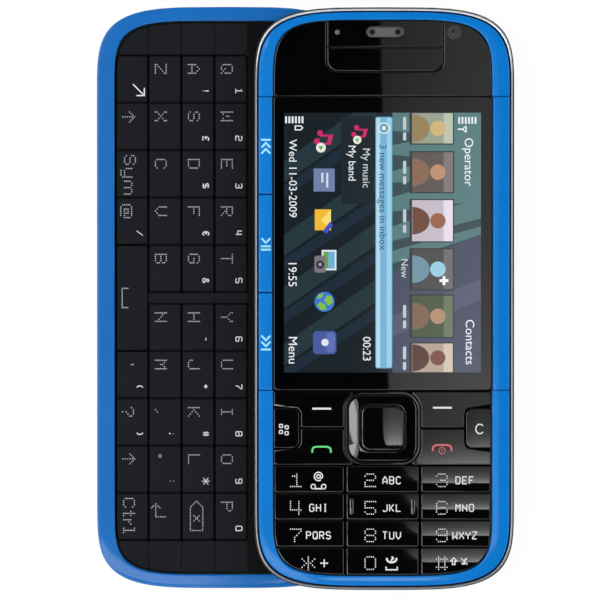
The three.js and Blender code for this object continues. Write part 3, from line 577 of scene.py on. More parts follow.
def opening(inset, further, shift=0.0):
    """Distance to a half's opening moved further in: its superellipse value less 1, over that
    value's own slope."""
    left, right, top, bottom = (i + further for i in inset)
    power = OPENING_POWER
    centre = shift + (left - right) / 2
    half = (WIDTH - left - right) / 2

    def distance(x, y):
        reach = END_CURVE - np.where(y < 0, bottom, top)
        u = np.maximum(np.abs(x - centre) / half, 1e-6)
        v = np.maximum(np.abs(y) - STRAIGHT, 0) / reach
        value = (u**power + v**power) ** (1 / power)
        slope = value ** (1 - power) * np.hypot(u ** (power - 1) / half, v ** (power - 1) / reach)
        return (value - 1) / slope

    return distance


def meet(first, second, radius):
    """Distance to what two shapes share, with the corners between them rounded by a radius."""

    def distance(x, y):
        a, b = first(x, y), second(x, y)
        over = np.hypot(np.maximum(a + radius, 0), np.maximum(b + radius, 0))
        return np.minimum(np.maximum(a, b), -radius) + over

    return distance


def without(first, second, radius):
    """Distance to the first shape with the second taken out."""
    return meet(first, lambda x, y: -second(x, y), radius)


# Steps of a rounded edge, the flat run that follows it, and where the further rings of a key's top
# lie, as shares of the way from its centre
EDGE_STEPS = 5
EDGE_RUN = 0.03
TOP_SHARES = (0.92, 0.8, 0.65, 0.5, 0.35, 0.2, 0.05)
# How far a ray is followed to find an outline
LONGEST_RAY = 60.0


def reach_of(distance, centre, angles, inset=0.0):
    """How far each ray from the centre runs before the outline moved in by inset, by halving."""
    near = np.zeros_like(angles)
    far = np.full_like(angles, LONGEST_RAY)
    for _ in range(34):
        middle = (near + far) / 2
        inside = distance(*on_rays(centre, angles, middle)) < -inset
        near = np.where(inside, middle, near)
        far = np.where(inside, far, middle)
    return near


def even_angles(distance, centre, count):
    """Ray angles that meet the outline at even steps of its length."""
    dense = np.linspace(0, 2 * math.pi, 2881)
    away = reach_of(distance, centre, dense)
    x, y = away * np.cos(dense), away * np.sin(dense)
    run = run_length(x, y)
    return np.interp(np.linspace(0, run[-1], count, endpoint=False), run, dense)


def edge_turn():
    """Angles over a rounded edge, a quarter turn."""
    return np.linspace(0, math.pi / 2, EDGE_STEPS)


def cap(distance, centre, low, height, rounding, count=None):
    """A key: walls straight up from low, a quarter-circle edge, and a top of height(x, y), whose
    rings step in from the edge to the centre on the same rays."""
    angles = even_angles(distance, centre, count or sizes().around)
    steps = [(rounding * (1 - math.cos(t)), 1, rounding * (1 - math.sin(t))) for t in edge_turn()]
    steps.append((rounding + EDGE_RUN, 1, 0))
    steps += [(rounding, share, 0) for share in TOP_SHARES]
    x, y = on_rays(centre, angles, reach_of(distance, centre, angles))
    rings = [np.stack([x, y, np.full_like(x, low)], -1)]
    for inset, share, drop in steps:
        x, y = on_rays(centre, angles, share * reach_of(distance, centre, angles, inset))
        rings.append(np.stack([x, y, height(x, y) - drop], -1))
    return loft(np.array(rings))



def plate_section(start, stop, edge, run, low, top):
    """Distances along rays and heights of a flat plate's section: up a wall, over a rounded edge of
    edge * (1 - cos t) by edge * (1 - sin t), across the top from run after the wall, and down the
    same way."""
    way, flat, turn = np.sign(stop - start), 0 * start, edge_turn()[:, None]
    across, drop = edge * (1 - np.cos(turn)), edge * (1 - np.sin(turn))
    away = [
        [start], start + way * across, [start + way * run, stop - way * run],
        stop - way * across[::-1], [stop],
    ]
    foot, crest = [low + flat], [top + flat] * 2
    rise = [foot, top - drop + flat, crest, top - drop[::-1] + flat, foot]
    return np.concatenate(away), np.concatenate(rise)


def holed_plate(outer, hole, centre, low, top, radius, count=240):
    """A flat plate with a hole, both with rounded upper edges, solved on rays from the centre."""
    angles = even_angles(outer, centre, count)
    away, rise = plate_section(
        reach_of(outer, centre, angles), reach_of(hole, centre, angles), radius, radius + EDGE_RUN,
        low, top,
    )
    return loft(np.stack([*on_rays(centre, angles, away), rise], -1), closed=True)


def level(top):
    """The same height everywhere."""
    return lambda x, y: np.full_like(x, top)


def crowned(top, crown, centre, half):
    """Height that falls from top in the middle by crown * (distance / half)^2 along x and y."""
    return lambda x, y: top - crown[0] * ((x - centre[0]) / half[0]) ** 2 - crown[1] * (
        (y - centre[1]) / half[1]
    ) ** 2


# Characters, drawn as strokes in a cell 4 wide and 6 high
GLYPHS = {
    "A": "0,0 0,3.6 2,6 4,3.6 4,0;0,1.8 4,1.8",
    "B": "0,0 0,6 3,6 4,5 4,4 3,3 4,2 4,1 3,0 0,0;0,3 3,3",
    "C": "4,5 3,6 1,6 0,5 0,1 1,0 3,0 4,1",
    "D": "0,0 0,6 3,6 4,5 4,1 3,0 0,0",
    "E": "4,6 0,6 0,0 4,0;0,3 3,3",
    "F": "4,6 0,6 0,0;0,3 3,3",
    "G": "4,5 3,6 1,6 0,5 0,1 1,0 3,0 4,1 4,3 2.4,3",
    "H": "0,0 0,6;4,0 4,6;0,3 4,3",
    "I": "1,6 3,6;2,6 2,0;1,0 3,0",
    "J": "0,1 1,0 3,0 4,1 4,6",
    "K": "0,0 0,6;4,6 1,3 4,0;0,3 1,3",
    "L": "0,6 0,0 4,0",
    "M": "0,0 0,6 2,3.6 4,6 4,0",
    "N": "0,0 0,6;0,5 4,1;4,0 4,6",
    "O": "1,0 0,1 0,5 1,6 3,6 4,5 4,1 3,0 1,0",
    "P": "0,0 0,6 3,6 4,5 4,4 3,3 0,3",
    "Q": "1,0 0,1 0,5 1,6 3,6 4,5 4,1 3,0 1,0;2.4,1.6 4,0",
    "R": "0,0 0,6 3,6 4,5 4,4 3,3 0,3;2,3 4,0",
    "S": "4,5 3,6 1,6 0,5 0,4 1,3 3,3 4,2 4,1 3,0 1,0 0,1",
    "T": "0,6 4,6;2,6 2,0",
    "U": "0,6 0,1 1,0 3,0 4,1 4,6",
    "V": "0,6 0,2 2,0 4,2 4,6",
    "W": "0,6 0,0 2,2.4 4,0 4,6",
    "X": "0,6 0,5 4,1 4,0;4,6 4,5 0,1 0,0",
    "Y": "0,6 0,4.6 2,2.8 4,4.6 4,6;2,2.8 2,0",
    "Z": "0,6 4,6 4,5 0,1 0,0 4,0",
    "0": "0.7,0 0,0.7 0,5.3 0.7,6 3.3,6 4,5.3 4,0.7 3.3,0 0.7,0",
    "1": "0.8,5 2,6 2,0;0,0 4,0",
    "2": "0,5.3 0.7,6 3.3,6 4,5.3 4,3.7 3.3,3 0.7,3 0,2.3 0,0 4,0",
    "3": "0,5.3 0.7,6 3.3,6 4,5.3 4,3.7 3.3,3 4,2.3 4,0.7 3.3,0 0.7,0 0,0.7;1,3 3.3,3",
    "4": "0,6 0,2 4,2;3,6 3,0",
    "5": "4,6 0,6 0,3 3.3,3 4,2.3 4,0.7 3.3,0 0.7,0 0,0.7",
    "6": "4,5.3 3.3,6 0.7,6 0,5.3 0,0.7 0.7,0 3.3,0 4,0.7 4,2.3 3.3,3 0,3",
    "7": "0,6 4,6 4,4.6 1.6,2.2 1.6,0",
    "8": (
        "0.7,3 0,3.7 0,5.3 0.7,6 3.3,6 4,5.3 4,3.7 3.3,3 0.7,3 0,2.3 0,0.7 0.7,0 3.3,0 4,0.7"
        " 4,2.3 3.3,3"
    ),
    "9": "0,0.7 0.7,0 3.3,0 4,0.7 4,5.3 3.3,6 0.7,6 0,5.3 0,3.7 0.7,3 4,3",
    "*": "2,0.4 2,5.6;0,1.4 4,4.6;0,4.6 4,1.4",
    "#": "1,0 1,6;3,0 3,6;0,2 4,2;0,4 4,4",
    "!": "2,6 2,2;2,0.5 2,0",
    "£": "4,5 3,6 2,6 1,5 1,0;0,0 4,0;0,3 3,3",
    "$": "4,5 3,5.6 1,5.6 0,5 0,4 1,3 3,3 4,2 4,1 3,0.4 1,0.4 0,1;2,6.3 2,-0.3",
    "€": "4,5 3,6 2,6 1,5 1,1 2,0 3,0 4,1;0,3.6 3,3.6;0,2.4 3,2.4",
    "&": "4,0 1,4.6 1,5.4 2,6 3,5.4 3,4.6 0.4,2.6 0,1 1,0 2.6,0 4,2.2",
    "-": "0.8,3 3.2,3",
    "+": "2,1 2,5;0,3 4,3",
    ";": "2,0.8 1.4,-0.8;2,3.4 2,3.8",
    ":": "2,0 2,0.5;2,3.4 2,3.9",
    "(": "3,6 1.6,4.6 1.6,1.4 3,0",
    ")": "1,6 2.4,4.6 2.4,1.4 1,0",
    "/": "0,0 4,6",
}

# Characters of 5 by 7 dots, each row two hexadecimal digits from the top row down
LETTER_DOTS = {
    "A": "040A11111F1111", "B": "1E11111E11111E", "C": "0E11101010110E", "D": "1E11111111111E",
    "E": "1F10101E10101F", "F": "1F10101E101010", "G": "0E11101711110E", "H": "1111111F111111",
    "I": "0E04040404040E", "J": "0101010111110E", "K": "11121418141211", "L": "1010101010101F",
    "M": "111B1515111111", "N": "11111915131111", "O": "0E11111111110E", "P": "1E11111E101010",
    "Q": "0E11111115120D", "R": "1E11111E141211", "S": "0E11100E01110E", "T": "1F040404040404",
    "U": "1111111111110E", "V": "11111111110A04", "W": "11111515111B11", "X": "11110A040A1111",
    "Y": "11110A04040404", "Z": "1F01020408101F", ",": "00000000000408", ".": "00000018180000",
    "'": "04040000000000", "?": "0E110102040004",
}
# Digits and the number sign of 6 by 7 dots, and the star of 7 by 7
DIGIT_DOTS = {
    "1": "041C040404043F", "2": "1E21011E20203F", "3": "1E21010E01211E", "4": "222222223F0202",
    "5": "3F20203E01211E", "6": "1E21203E21211E", "7": "3F010204080808", "8": "1E21211E21211E",
    "9": "1E21211F01211E", "0": "1E21212121211E", "*": "08492A1C2A4908", "#": "123F1212123F12",
}

# Whole words in dots: their width, and each row's bits from the top row down
WORD_DOTS = {
    "Sym": (19, (0x38000, 0x44000, 0x41136, 0x39149, 0x05149, 0x45149, 0x38f49, 0x00100, 0x00e00)),
    "Ctrl": (17, (0x0e206, 0x11202, 0x10752, 0x10262, 0x10242, 0x11242, 0x0e347)),
    "@": (7, (0x3e, 0x41, 0x5d, 0x55, 0x5f, 0x40, 0x3e)),
}


def bitmap_spots(rows, columns, middle, pitch, turned):
    """Dot centres round a point, from the bits of each row: pitch apart along and down."""
    bits = (np.array(rows)[:, None] >> np.arange(columns)[::-1]) & 1
    row, column = np.nonzero(bits)
    along = (column - (columns - 1) / 2) * pitch[0]
    return set_down(along, ((len(rows) - 1) / 2 - row) * pitch[1], middle, turned)


def matrix_spots(text, middle, pitch, font, columns, turned=False):
    """Dot centres of a character in a font of so many columns."""
    return bitmap_spots(list(bytes.fromhex(font[text])), columns, middle, pitch, turned)


def word_spots(word, middle, pitch):
    """Dot centres of a turned word."""
    columns, rows = WORD_DOTS[word]
    return bitmap_spots(rows, columns, middle, pitch, True)


def spots_along(lines, pitch):
    """Dot centres at even steps along strokes, each place only once."""
    spots = []
    for line in lines:
        length = run_length(*line.T)[-1]
        steps = max(int(round(length / pitch)), 1)
        spots.append(at_lengths(line, np.linspace(0, length, steps + 1)))
    spots = np.concatenate(spots)
    near = np.hypot(*(spots[:, None] - spots[None]).transpose(2, 0, 1)) < pitch * 0.55
    return spots[~np.any(np.tril(near, -1), axis=1)]


def polylines(text):
    """Points written as x,y pairs, with a semicolon between lines."""
    return [
        np.array([[float(n) for n in pair.split(",")] for pair in line.split()])
        for line in text.split(";")
    ]


def lettered(text, middle, height, squeeze, turned=False, advance=5.6):
    """Strokes of a text centred on a point."""
    scale = height / 6
    wide = ((len(text) - 1) * advance + 4) * scale * squeeze
    lines = []
    for place, character in enumerate(text):
        for line in polylines(GLYPHS[character]):
            along = (line[:, 0] + place * advance) * scale * squeeze - wide / 2
            lines.append(set_down(along, (line[:, 1] - 3) * scale, middle, turned))
    return lines


def placed(text, middle, turned=False):
    """Free strokes, centred on (0, 0) in millimetres, put round a point."""
    return [set_down(*line.T, middle, turned) for line in polylines(text)]


def arc(middle, radius, first, last, steps=20):
    """A circle's arc between two angles in degrees: middle + radius * (cos a, sin a)."""
    angle = np.radians(np.linspace(first, last, steps))
    return np.stack(on_rays(middle, angle, radius), -1)


def dots(spots, radius, height):
    """Round dots, each a low eight-sided prism that stands on height(x, y)."""
    angle = np.linspace(0, 2 * math.pi, 8, endpoint=False)
    ring = radius * np.stack([np.cos(angle), np.sin(angle)], -1)
    flat = np.repeat((spots[:, None] + ring)[:, None], 2, axis=1)
    ends = np.array([-INK_DEPTH, mm(sizes().ink_height)])[:, None]
    base = height(*spots.T)[:, None, None] + ends
    points = np.concatenate([flat, np.broadcast_to(base[..., None], (*flat.shape[:3], 1))], -1)
    index = np.arange(len(spots) * 16).reshape(-1, 2, 8)
    low, high = index[:, 0], index[:, 1]
    sides = np.stack([low, np.roll(low, -1, 1), np.roll(high, -1, 1), high], -1).reshape(-1, 4)
    return [(points.reshape(-1, 3), [sides, low[:, ::-1], high])]


# Longest step between the points of a printed line
FINE_STEP = 0.3


def finer(line):
    """The same line with more points, none further than FINE_STEP from the next."""
    run = run_length(*line.T)
    every = np.union1d(run, np.arange(FINE_STEP, run[-1], FINE_STEP))
    return at_lengths(line, every[np.concatenate(([True], np.diff(every) > 0.02))])


def ribbon(line, width, height, closed=False):
    """A flat line of even width with mitred bends: each point moves by half the width over the
    cosine of half the bend, along the bisector, and the strip stands on height(x, y)."""
    run = np.roll(line, -1, 0) - line if closed else np.diff(line, axis=0)
    run = run / np.maximum(np.hypot(run[:, :1], run[:, 1:]), 1e-9)
    after = run if closed else np.vstack([run, run[-1:]])
    before = np.roll(run, 1, 0) if closed else np.vstack([run[:1], run])
    side_before = np.stack([-before[:, 1], before[:, 0]], -1)
    side_after = np.stack([-after[:, 1], after[:, 0]], -1)
    side = side_before + side_after
    side = side / np.maximum((side * side_after).sum(-1, keepdims=True), 0.35)
    left, right = line + side * width / 2, line - side * width / 2
    level_left, level_right = height(*left.T), height(*right.T)
    rise = mm(sizes().ink_height)
    rings = np.stack([
        np.column_stack([right, level_right + rise]), np.column_stack([left, level_left + rise]),
        np.column_stack([left, level_left - INK_DEPTH]),
        np.column_stack([right, level_right - INK_DEPTH]),
    ], 1)
    return loft(rings, closed=closed)


def ribbons(lines, width, height):
    """Open strokes as flat lines of even width."""
    return [ribbon(finer(line), width, height) for line in lines]


# Reflection cards, in metres: left, right, front, back, height and glow
CARDS = {
    "dark": (-0.4, 0.92, -1.12, 0.95, 1.002, 0),
    "left": (-0.95, -0.47, -0.089, 0.5, 0.99, 9.0),
    "left_soft": (-0.47, -0.36, -0.089, 0.5, 0.99, 3.4),
    "left_front": (-0.95, -0.47, -0.8, -0.119, 0.99, 9.0),
    "left_front_soft": (-0.47, -0.36, -0.8, -0.119, 0.99, 3.4),
    "left_filler": (-0.62, -0.36, -0.119, -0.089, 0.99, 6.0),
    "rim": (-0.3, -0.008, -0.42, -0.14, 0.985, 6.0),
    "band": (0.011, 0.061, -0.265, -0.205, 0.99, 9.0),
    "right": (0.93, 2.4, -0.7, 0.6, 0.99, 5.0),
    "front": (-0.6, 0.8, -3.0, -1.13, 0.99, 4.0),
    "back": (-0.6, 0.8, 0.96, 2.4, 0.99, 0.7),
}
# Outline of the card that the right half of the window and the pad mirror
PALE_CARD = [
    (0.0345, 0.13), (0.0375, 0.03), (0.0395, -0.06), (0.042, -0.1), (0.0455, -0.116),
    (0.051, -0.122), (0.13, -0.122), (0.13, 0.13),
]
FLOOR_LEVEL = -0.0001
CAMERA_AWAY = 2.0
CAMERA_TILT = math.radians(2.2)
CAMERA_SEES = 0.1156
CAMERA_AIM = (0.0141, -0.0004, 0.0083)


class PHONE_OT_studio(bpy.types.Operator):
    """Floor, soft light, reflection cards and the camera straight above"""

    bl_idname = "phone.studio"
    bl_label = "Studio"

    def execute(self, context):
        scene = context.scene
        scene.view_settings.view_transform = "Standard"
        self.world(scene)
        self.floor()
        self.lamp("left_lamp", (-0.62, 0.12, 0.92), (0.5, 1.3), 9.8)
        self.lamp("front_lamp", (0.2, -0.95, 0.85), (0.9, 0.35), 2.3)
        for name, (left, right, front, back, height, glow) in CARDS.items():
            corners = [(left, back), (left, front), (right, front), (right, back)]
            self.card(name + "_card", corners, height, glow)
        self.card("pale_card", PALE_CARD, 1.0, 0.66, 5.3)
        self.camera(scene)
        return {"FINISHED"}

    def mixed(self, tree, share, first, second):
        """The first shader with a share of the second."""
        return add_node(tree, "MixShader", {0: share, 1: first.outputs[0], 2: second.outputs[0]})

    def world(self, scene):
        """Even light all round, which the camera sees as white."""
        world = bpy.data.worlds.new("studio_world")
        scene.world = world
        world.use_nodes = True
        tree = world.node_tree
        tree.nodes.clear()
        light = add_node(tree, "Background", {"Color": (0.97, 0.985, 1, 1), "Strength": 0.72})
        seen = add_node(tree, "Background", {"Color": (1, 1, 1, 1)})
        camera = add_node(tree, "LightPath").outputs["Is Camera Ray"]
        add_node(tree, "OutputWorld", {0: self.mixed(tree, camera, light, seen).outputs[0]})

    def sheet(self, name, look, points, order=1):
        """A flat stage piece that looks up, or down with order -1, and its material's bare tree."""
        mesh = bpy.data.meshes.new(name)
        mesh.from_pydata(points, [], [tuple(range(len(points)))[::order]])
        sheet = bpy.data.objects.new(name, mesh)
        bpy.context.scene.collection.objects.link(sheet)
        material = bpy.data.materials.new(look)
        material.use_nodes = True
        material.node_tree.nodes.clear()
        mesh.materials.append(material)
        return sheet, material.node_tree

    def floor(self):
        """White floor just below the phone: the camera sees it partly by its own light, so that the
        shadow stays soft, and diffuse rays meet an even light. It is clear from below, so that the
        phone's back can be looked at."""
        corners = ((-3, -3), (3, -3), (3, 3), (-3, 3))
        tree = self.sheet("floor", "pale_floor", [(x, y, FLOOR_LEVEL) for x, y in corners])[1]
        path = add_node(tree, "LightPath").outputs
        share = self.calculate(tree, "MULTIPLY", path["Is Camera Ray"], 0.85)
        matt = add_node(tree, "BsdfDiffuse", {"Color": (0.86, 0.86, 0.86, 1)})
        seen = self.mixed(tree, share, matt, add_node(tree, "Emission", {"Strength": 1.08}))
        even = add_node(tree, "Emission", {"Strength": 0.6})
        above = self.mixed(tree, path["Is Diffuse Ray"], seen, even)
        back = add_node(tree, "NewGeometry").outputs["Backfacing"]
        whole = self.mixed(tree, back, above, add_node(tree, "BsdfTransparent"))
        add_node(tree, "OutputMaterial", {0: whole.outputs[0]})

    def lamp(self, name, place, size, radiance):
        """An area lamp turned to the phone, whose power is pi * area * radiance / 4."""
        data = bpy.data.lights.new(name, "AREA")
        data.shape = "RECTANGLE"
        data.size, data.size_y = size
        data.energy = math.pi * size[0] * size[1] * radiance / 4
        lamp = bpy.data.objects.new(name, data)
        lamp.location = place
        x, y, z = place
        lamp.rotation_euler = (math.atan2(math.hypot(x, y), z), 0, math.atan2(x, -y))
        lamp.visible_glossy = False
        bpy.context.scene.collection.objects.link(lamp)

    def card(self, name, corners, height, glow, front_glow=0):
        """A flat card above the phone that only reflections see. It glows with glow, plus
        front_glow times e^(-distance / 36 mm) behind its front edge, and less towards its left."""
        left, front = np.min(corners, axis=0)
        card, tree = self.sheet(name, name, [(x, y, height) for x, y in corners], -1)
        strength = glow
        if front_glow:
            place = add_node(tree, "TexCoord").outputs["Object"]
            split = add_node(tree, "SeparateXYZ", {0: place}).outputs
            behind = self.calculate(tree, "SUBTRACT", split["Y"], front)
            fading = self.calculate(
                tree, "EXPONENT", self.calculate(tree, "DIVIDE", behind, -0.036), 0
            )
            total = self.calculate(
                tree, "ADD", self.calculate(tree, "MULTIPLY", fading, front_glow), glow
            )
            across = spread(tree, split["X"], 0.55, 1, left, left + 0.03)
            strength = self.calculate(tree, "MULTIPLY", total, across)
        light = add_node(tree, "Emission", {"Strength": strength})
        add_node(tree, "OutputMaterial", {0: light.outputs[0]})
        for ray in ("camera", "diffuse", "transmission", "volume_scatter", "shadow"):
            setattr(card, "visible_" + ray, False)

    def calculate(self, tree, operation, first, second):
        """Result of a sum of two values or sockets."""
        return add_node(tree, "Math", {0: first, 1: second}, operation=operation).outputs[0]

    def camera(self, scene):
        """Camera nearly straight above the open phone, where it sees CAMERA_SEES metres."""
        data = bpy.data.cameras.new("camera")
        data.sensor_width = 36
        data.lens = data.sensor_width * CAMERA_AWAY / CAMERA_SEES
        data.clip_start, data.clip_end = 0.05, 20
        camera = bpy.data.objects.new("camera", data)
        back, up = CAMERA_AWAY * math.sin(CAMERA_TILT), CAMERA_AWAY * math.cos(CAMERA_TILT)
        camera.location = np.add(CAMERA_AIM, (0, back, up))
        camera.rotation_euler = (-CAMERA_TILT, 0, 0)
        scene.collection.objects.link(camera)
        scene.camera = camera


# Bevelled copies: node, body, material, slot and, where it isn't the usual one, the bevel in metres
SHELL_PIECES = [
    ("rear_housing", "keyboard_half", "shell", "housing_blue", 0.00012),
    ("battery_cover", "battery_cover", "cover", "cover_black"),
    ("usb_door", "usb_door", "shell", "housing_blue"),
    ("volume_rocker", "volume_rocker", "satin", "side_key_silver", 0.0003),
    ("camera_key", "camera_key", "satin", "side_key_silver", 0.0003),
    ("power_key", "power_key", "satin", "side_key_silver", 0.0001),
    ("rear_camera", "keyboard_half", "lens", "lens_glass"),
    ("camera_window", "keyboard_half", "window", "window_black", 0.00015),
    ("flash_led", "keyboard_half", "lamp", "flash_lens", 0.00015),
]
# CAD nodes that keep their shape, and their materials
PAINTED = {
    "main_board": "board", "battery": "wrap", "loudspeaker": "jack", "usb_socket": "steel",
    "headset_jack": "jack",
}


class PHONE_OT_shell(bpy.types.Operator):
    """Rear housing, battery cover, connector flap, side keys and what the back shows"""

    bl_idname = "phone.shell"
    bl_label = "Shell and side keys"

    def execute(self, context):
        pieces = {row[0]: dressed(*row) for row in SHELL_PIECES}
        self.fit_power_key(pieces["power_key"].data)
        for node, look in PAINTED.items():
            paint(node, look)
        return {"FINISHED"}

    def fit_power_key(self, mesh):
        """The key's outer face lies 0.03 mm inside the housing's own end curve, y = 38.7 + 17.3 *
        (1 - (x / 25)^4)^(1/4), so every point beyond it is drawn in to it."""
        points = np.zeros(len(mesh.vertices) * 3)
        mesh.vertices.foreach_get("co", points)
        points = points.reshape(-1, 3)
        share = np.abs(points[:, 0] / MM / (WIDTH / 2)) ** OUTER_POWER
        curve = STRAIGHT + END_CURVE * (1 - share) ** (1 / OUTER_POWER)
        points[:, 1] = np.minimum(points[:, 1], (curve - 0.03) * MM)
        mesh.vertices.foreach_set("co", points.ravel())
        mesh.update()


# Wall of the blue rim and depth of its lip
RIM_WALL = 1.3
RIM_LIP = 1.5
# Fields of the deck: margin to the rim and beside each, how far they stand up and reach down, and
# the radii of their corners and edges
FIELD_INSET = 0.5
FIELD_SIDE = 0.05
FIELD_LIFT = 0.03
FIELD_DEPTH = 0.2
FIELD_CORNER = 0.02
FIELD_EDGE = 0.025


class PHONE_OT_keyboard_rim(bpy.types.Operator):
    """Blue lacquered rim round the letter keyboard"""

    bl_idname = "phone.keyboard_rim"
    bl_label = "Keyboard rim"

    def execute(self, context):
        s = sizes()
        low, high = node_box("keyboard_frame")
        lip = high[2] - RIM_LIP
        under = [(0, RIM_WALL, lip), (0, RIM_WALL, low[2])]
        section = sloped_section(low[2], high[2], mm(s.rim_rounding), mm(s.rim_fall), lip, under)
        places = stations((-STRAIGHT, STRAIGHT))
        rim = band((0, 0, 0, 0), RIM_INSET, section, places)
        add_piece("keyboard_rim", "keyboard_half", [rim], "rim", ["keyboard_frame"])
        # The near-black deck shows as dark joints between the fields, and as painted shade of the
        # display half on the bare strip right of the keys
        dressed("keyboard_deck", "keyboard_half", "deck", "deck_black", 0.00006)
        self.cells(node_box("keyboard_deck")[1][2])
        self.mat()
        return {"FINISHED"}

    def cells(self, top):
        """Charcoal fields of the deck, a hair above it: both ends and the centre bar. The strip
        right of the letter keys gets no field, so the near-black deck there is painted shade of the
        display half.
        """

        def field(shape, middle, count):
            height = level(top + FIELD_LIFT)
            parts.append(cap(shape, middle, top - FIELD_DEPTH, height, FIELD_EDGE, count))

        inside = opening(RIM_INSET, FIELD_INSET)
        half = CENTRE_BAR / 2 - 0.15
        end, far = KEYS_END + 0.2, 56
        parts = []
        for column in range(4):
            x, reach = column_centre(column), COLUMN_PITCH / 2 - FIELD_SIDE
            for front, back in ((end, far), (-far, -end)):
                shape = rounded_box(x - reach, x + reach, front, back, FIELD_CORNER)
                field(meet(shape, inside, 0.1), (x, math.copysign(KEYS_END + 2, back)), 96)
            if column:
                field(box_about((x, 0), (reach, half), FIELD_CORNER), (x, 0), 48)
        add_piece("deck_fields", "keyboard_half", parts, "cap")

    def mat(self):
        """Rubber mat with the switch domes, between the board and the letter strips."""
        board = node_box("main_board")[1][2]
        shape = rounded_box(KEYS_LEFT - 0.2, 4.3, -KEYS_END - 0.3, KEYS_END + 0.3, 1.0)
        part = cap(shape, (KEYS_LEFT + 12, 0), board + 0.03, level(board + 0.16), 0.05, 160)
        add_piece("letter_mat", "keyboard_half", [part], "mat")


def column_centre(column):
    """Middle of a column of letter caps, counted from the left."""
    return KEYS_LEFT + (column + 0.5) * COLUMN_PITCH


def row_centre(row):
    """Middle of a row of letter caps, counted from the top; the centre bar lies before row 5."""
    return KEYS_END - (row + 0.5) * LETTER_PITCH - (CENTRE_BAR if row >= 5 else 0)


# Each letter strip: its column, first row, main characters and second characters
STRIPS = {
    "qwerty_top_row": (3, 0, "QWERTYUIOP", "1234567890"),
    "qwerty_home_row": (2, 0, "ASDFGHJKL ", "!£$€&-+#* "),
    "qwerty_lower_row": (1, 0, "ZXCVBNM,. ", "       ;: "),
    "qwerty_bottom_left": (0, 0, "    ", "   /"),
    "qwerty_bottom_right": (0, 6, "'?  ", "()  "),
}
# Where the characters stand, from the middle of a cap, and the radius of a cap's corners
MAIN_PLACE = (-0.8, 1.94)
SECOND_PLACE = (1.5, -2.3)
CAP_CORNER = 0.2
# Signs that aren't single characters, by strip and row: a word or strokes, and their place
SHIFT_ARROW = "0,-1.15 0,1.15;-0.95,0.2 0,1.15 0.95,0.2"
SPECIAL_SIGNS = {
    ("qwerty_bottom_left", 1): (SHIFT_ARROW, (-0.63, 1.83)),
    ("qwerty_bottom_left", 2): ("Sym", (-0.72, -0.2)),
    ("qwerty_bottom_left", 3): ("@", (-1.1, 1.94)),
    ("qwerty_bottom_right", 8): (SHIFT_ARROW, (-0.63, 2.0)),
    ("qwerty_bottom_right", 9): ("Ctrl", (-0.6, 0.2)),
    ("qwerty_lower_row", 9): (
        "1.26,0.9 1.26,-0.9 -1.26,-0.9;-0.5,-0.12 -1.26,-0.9 -0.5,-1.68", (-0.9, 1.2),
    ),
    ("qwerty_home_row", 9): (
        "-2.85,0 -1.65,1.2 2.85,1.2 2.85,-1.2 -1.65,-1.2 -2.85,0;0,0.5 1,-0.5;0,-0.5 1,0.5",
        (-0.3, 0.15),
    ),
}
SLANTING_ARROW = ("-1.1,1.1 1.1,-1.1;-0.4,-1.1 1.1,-1.1 1.1,0.4", (1.3, -2.1))


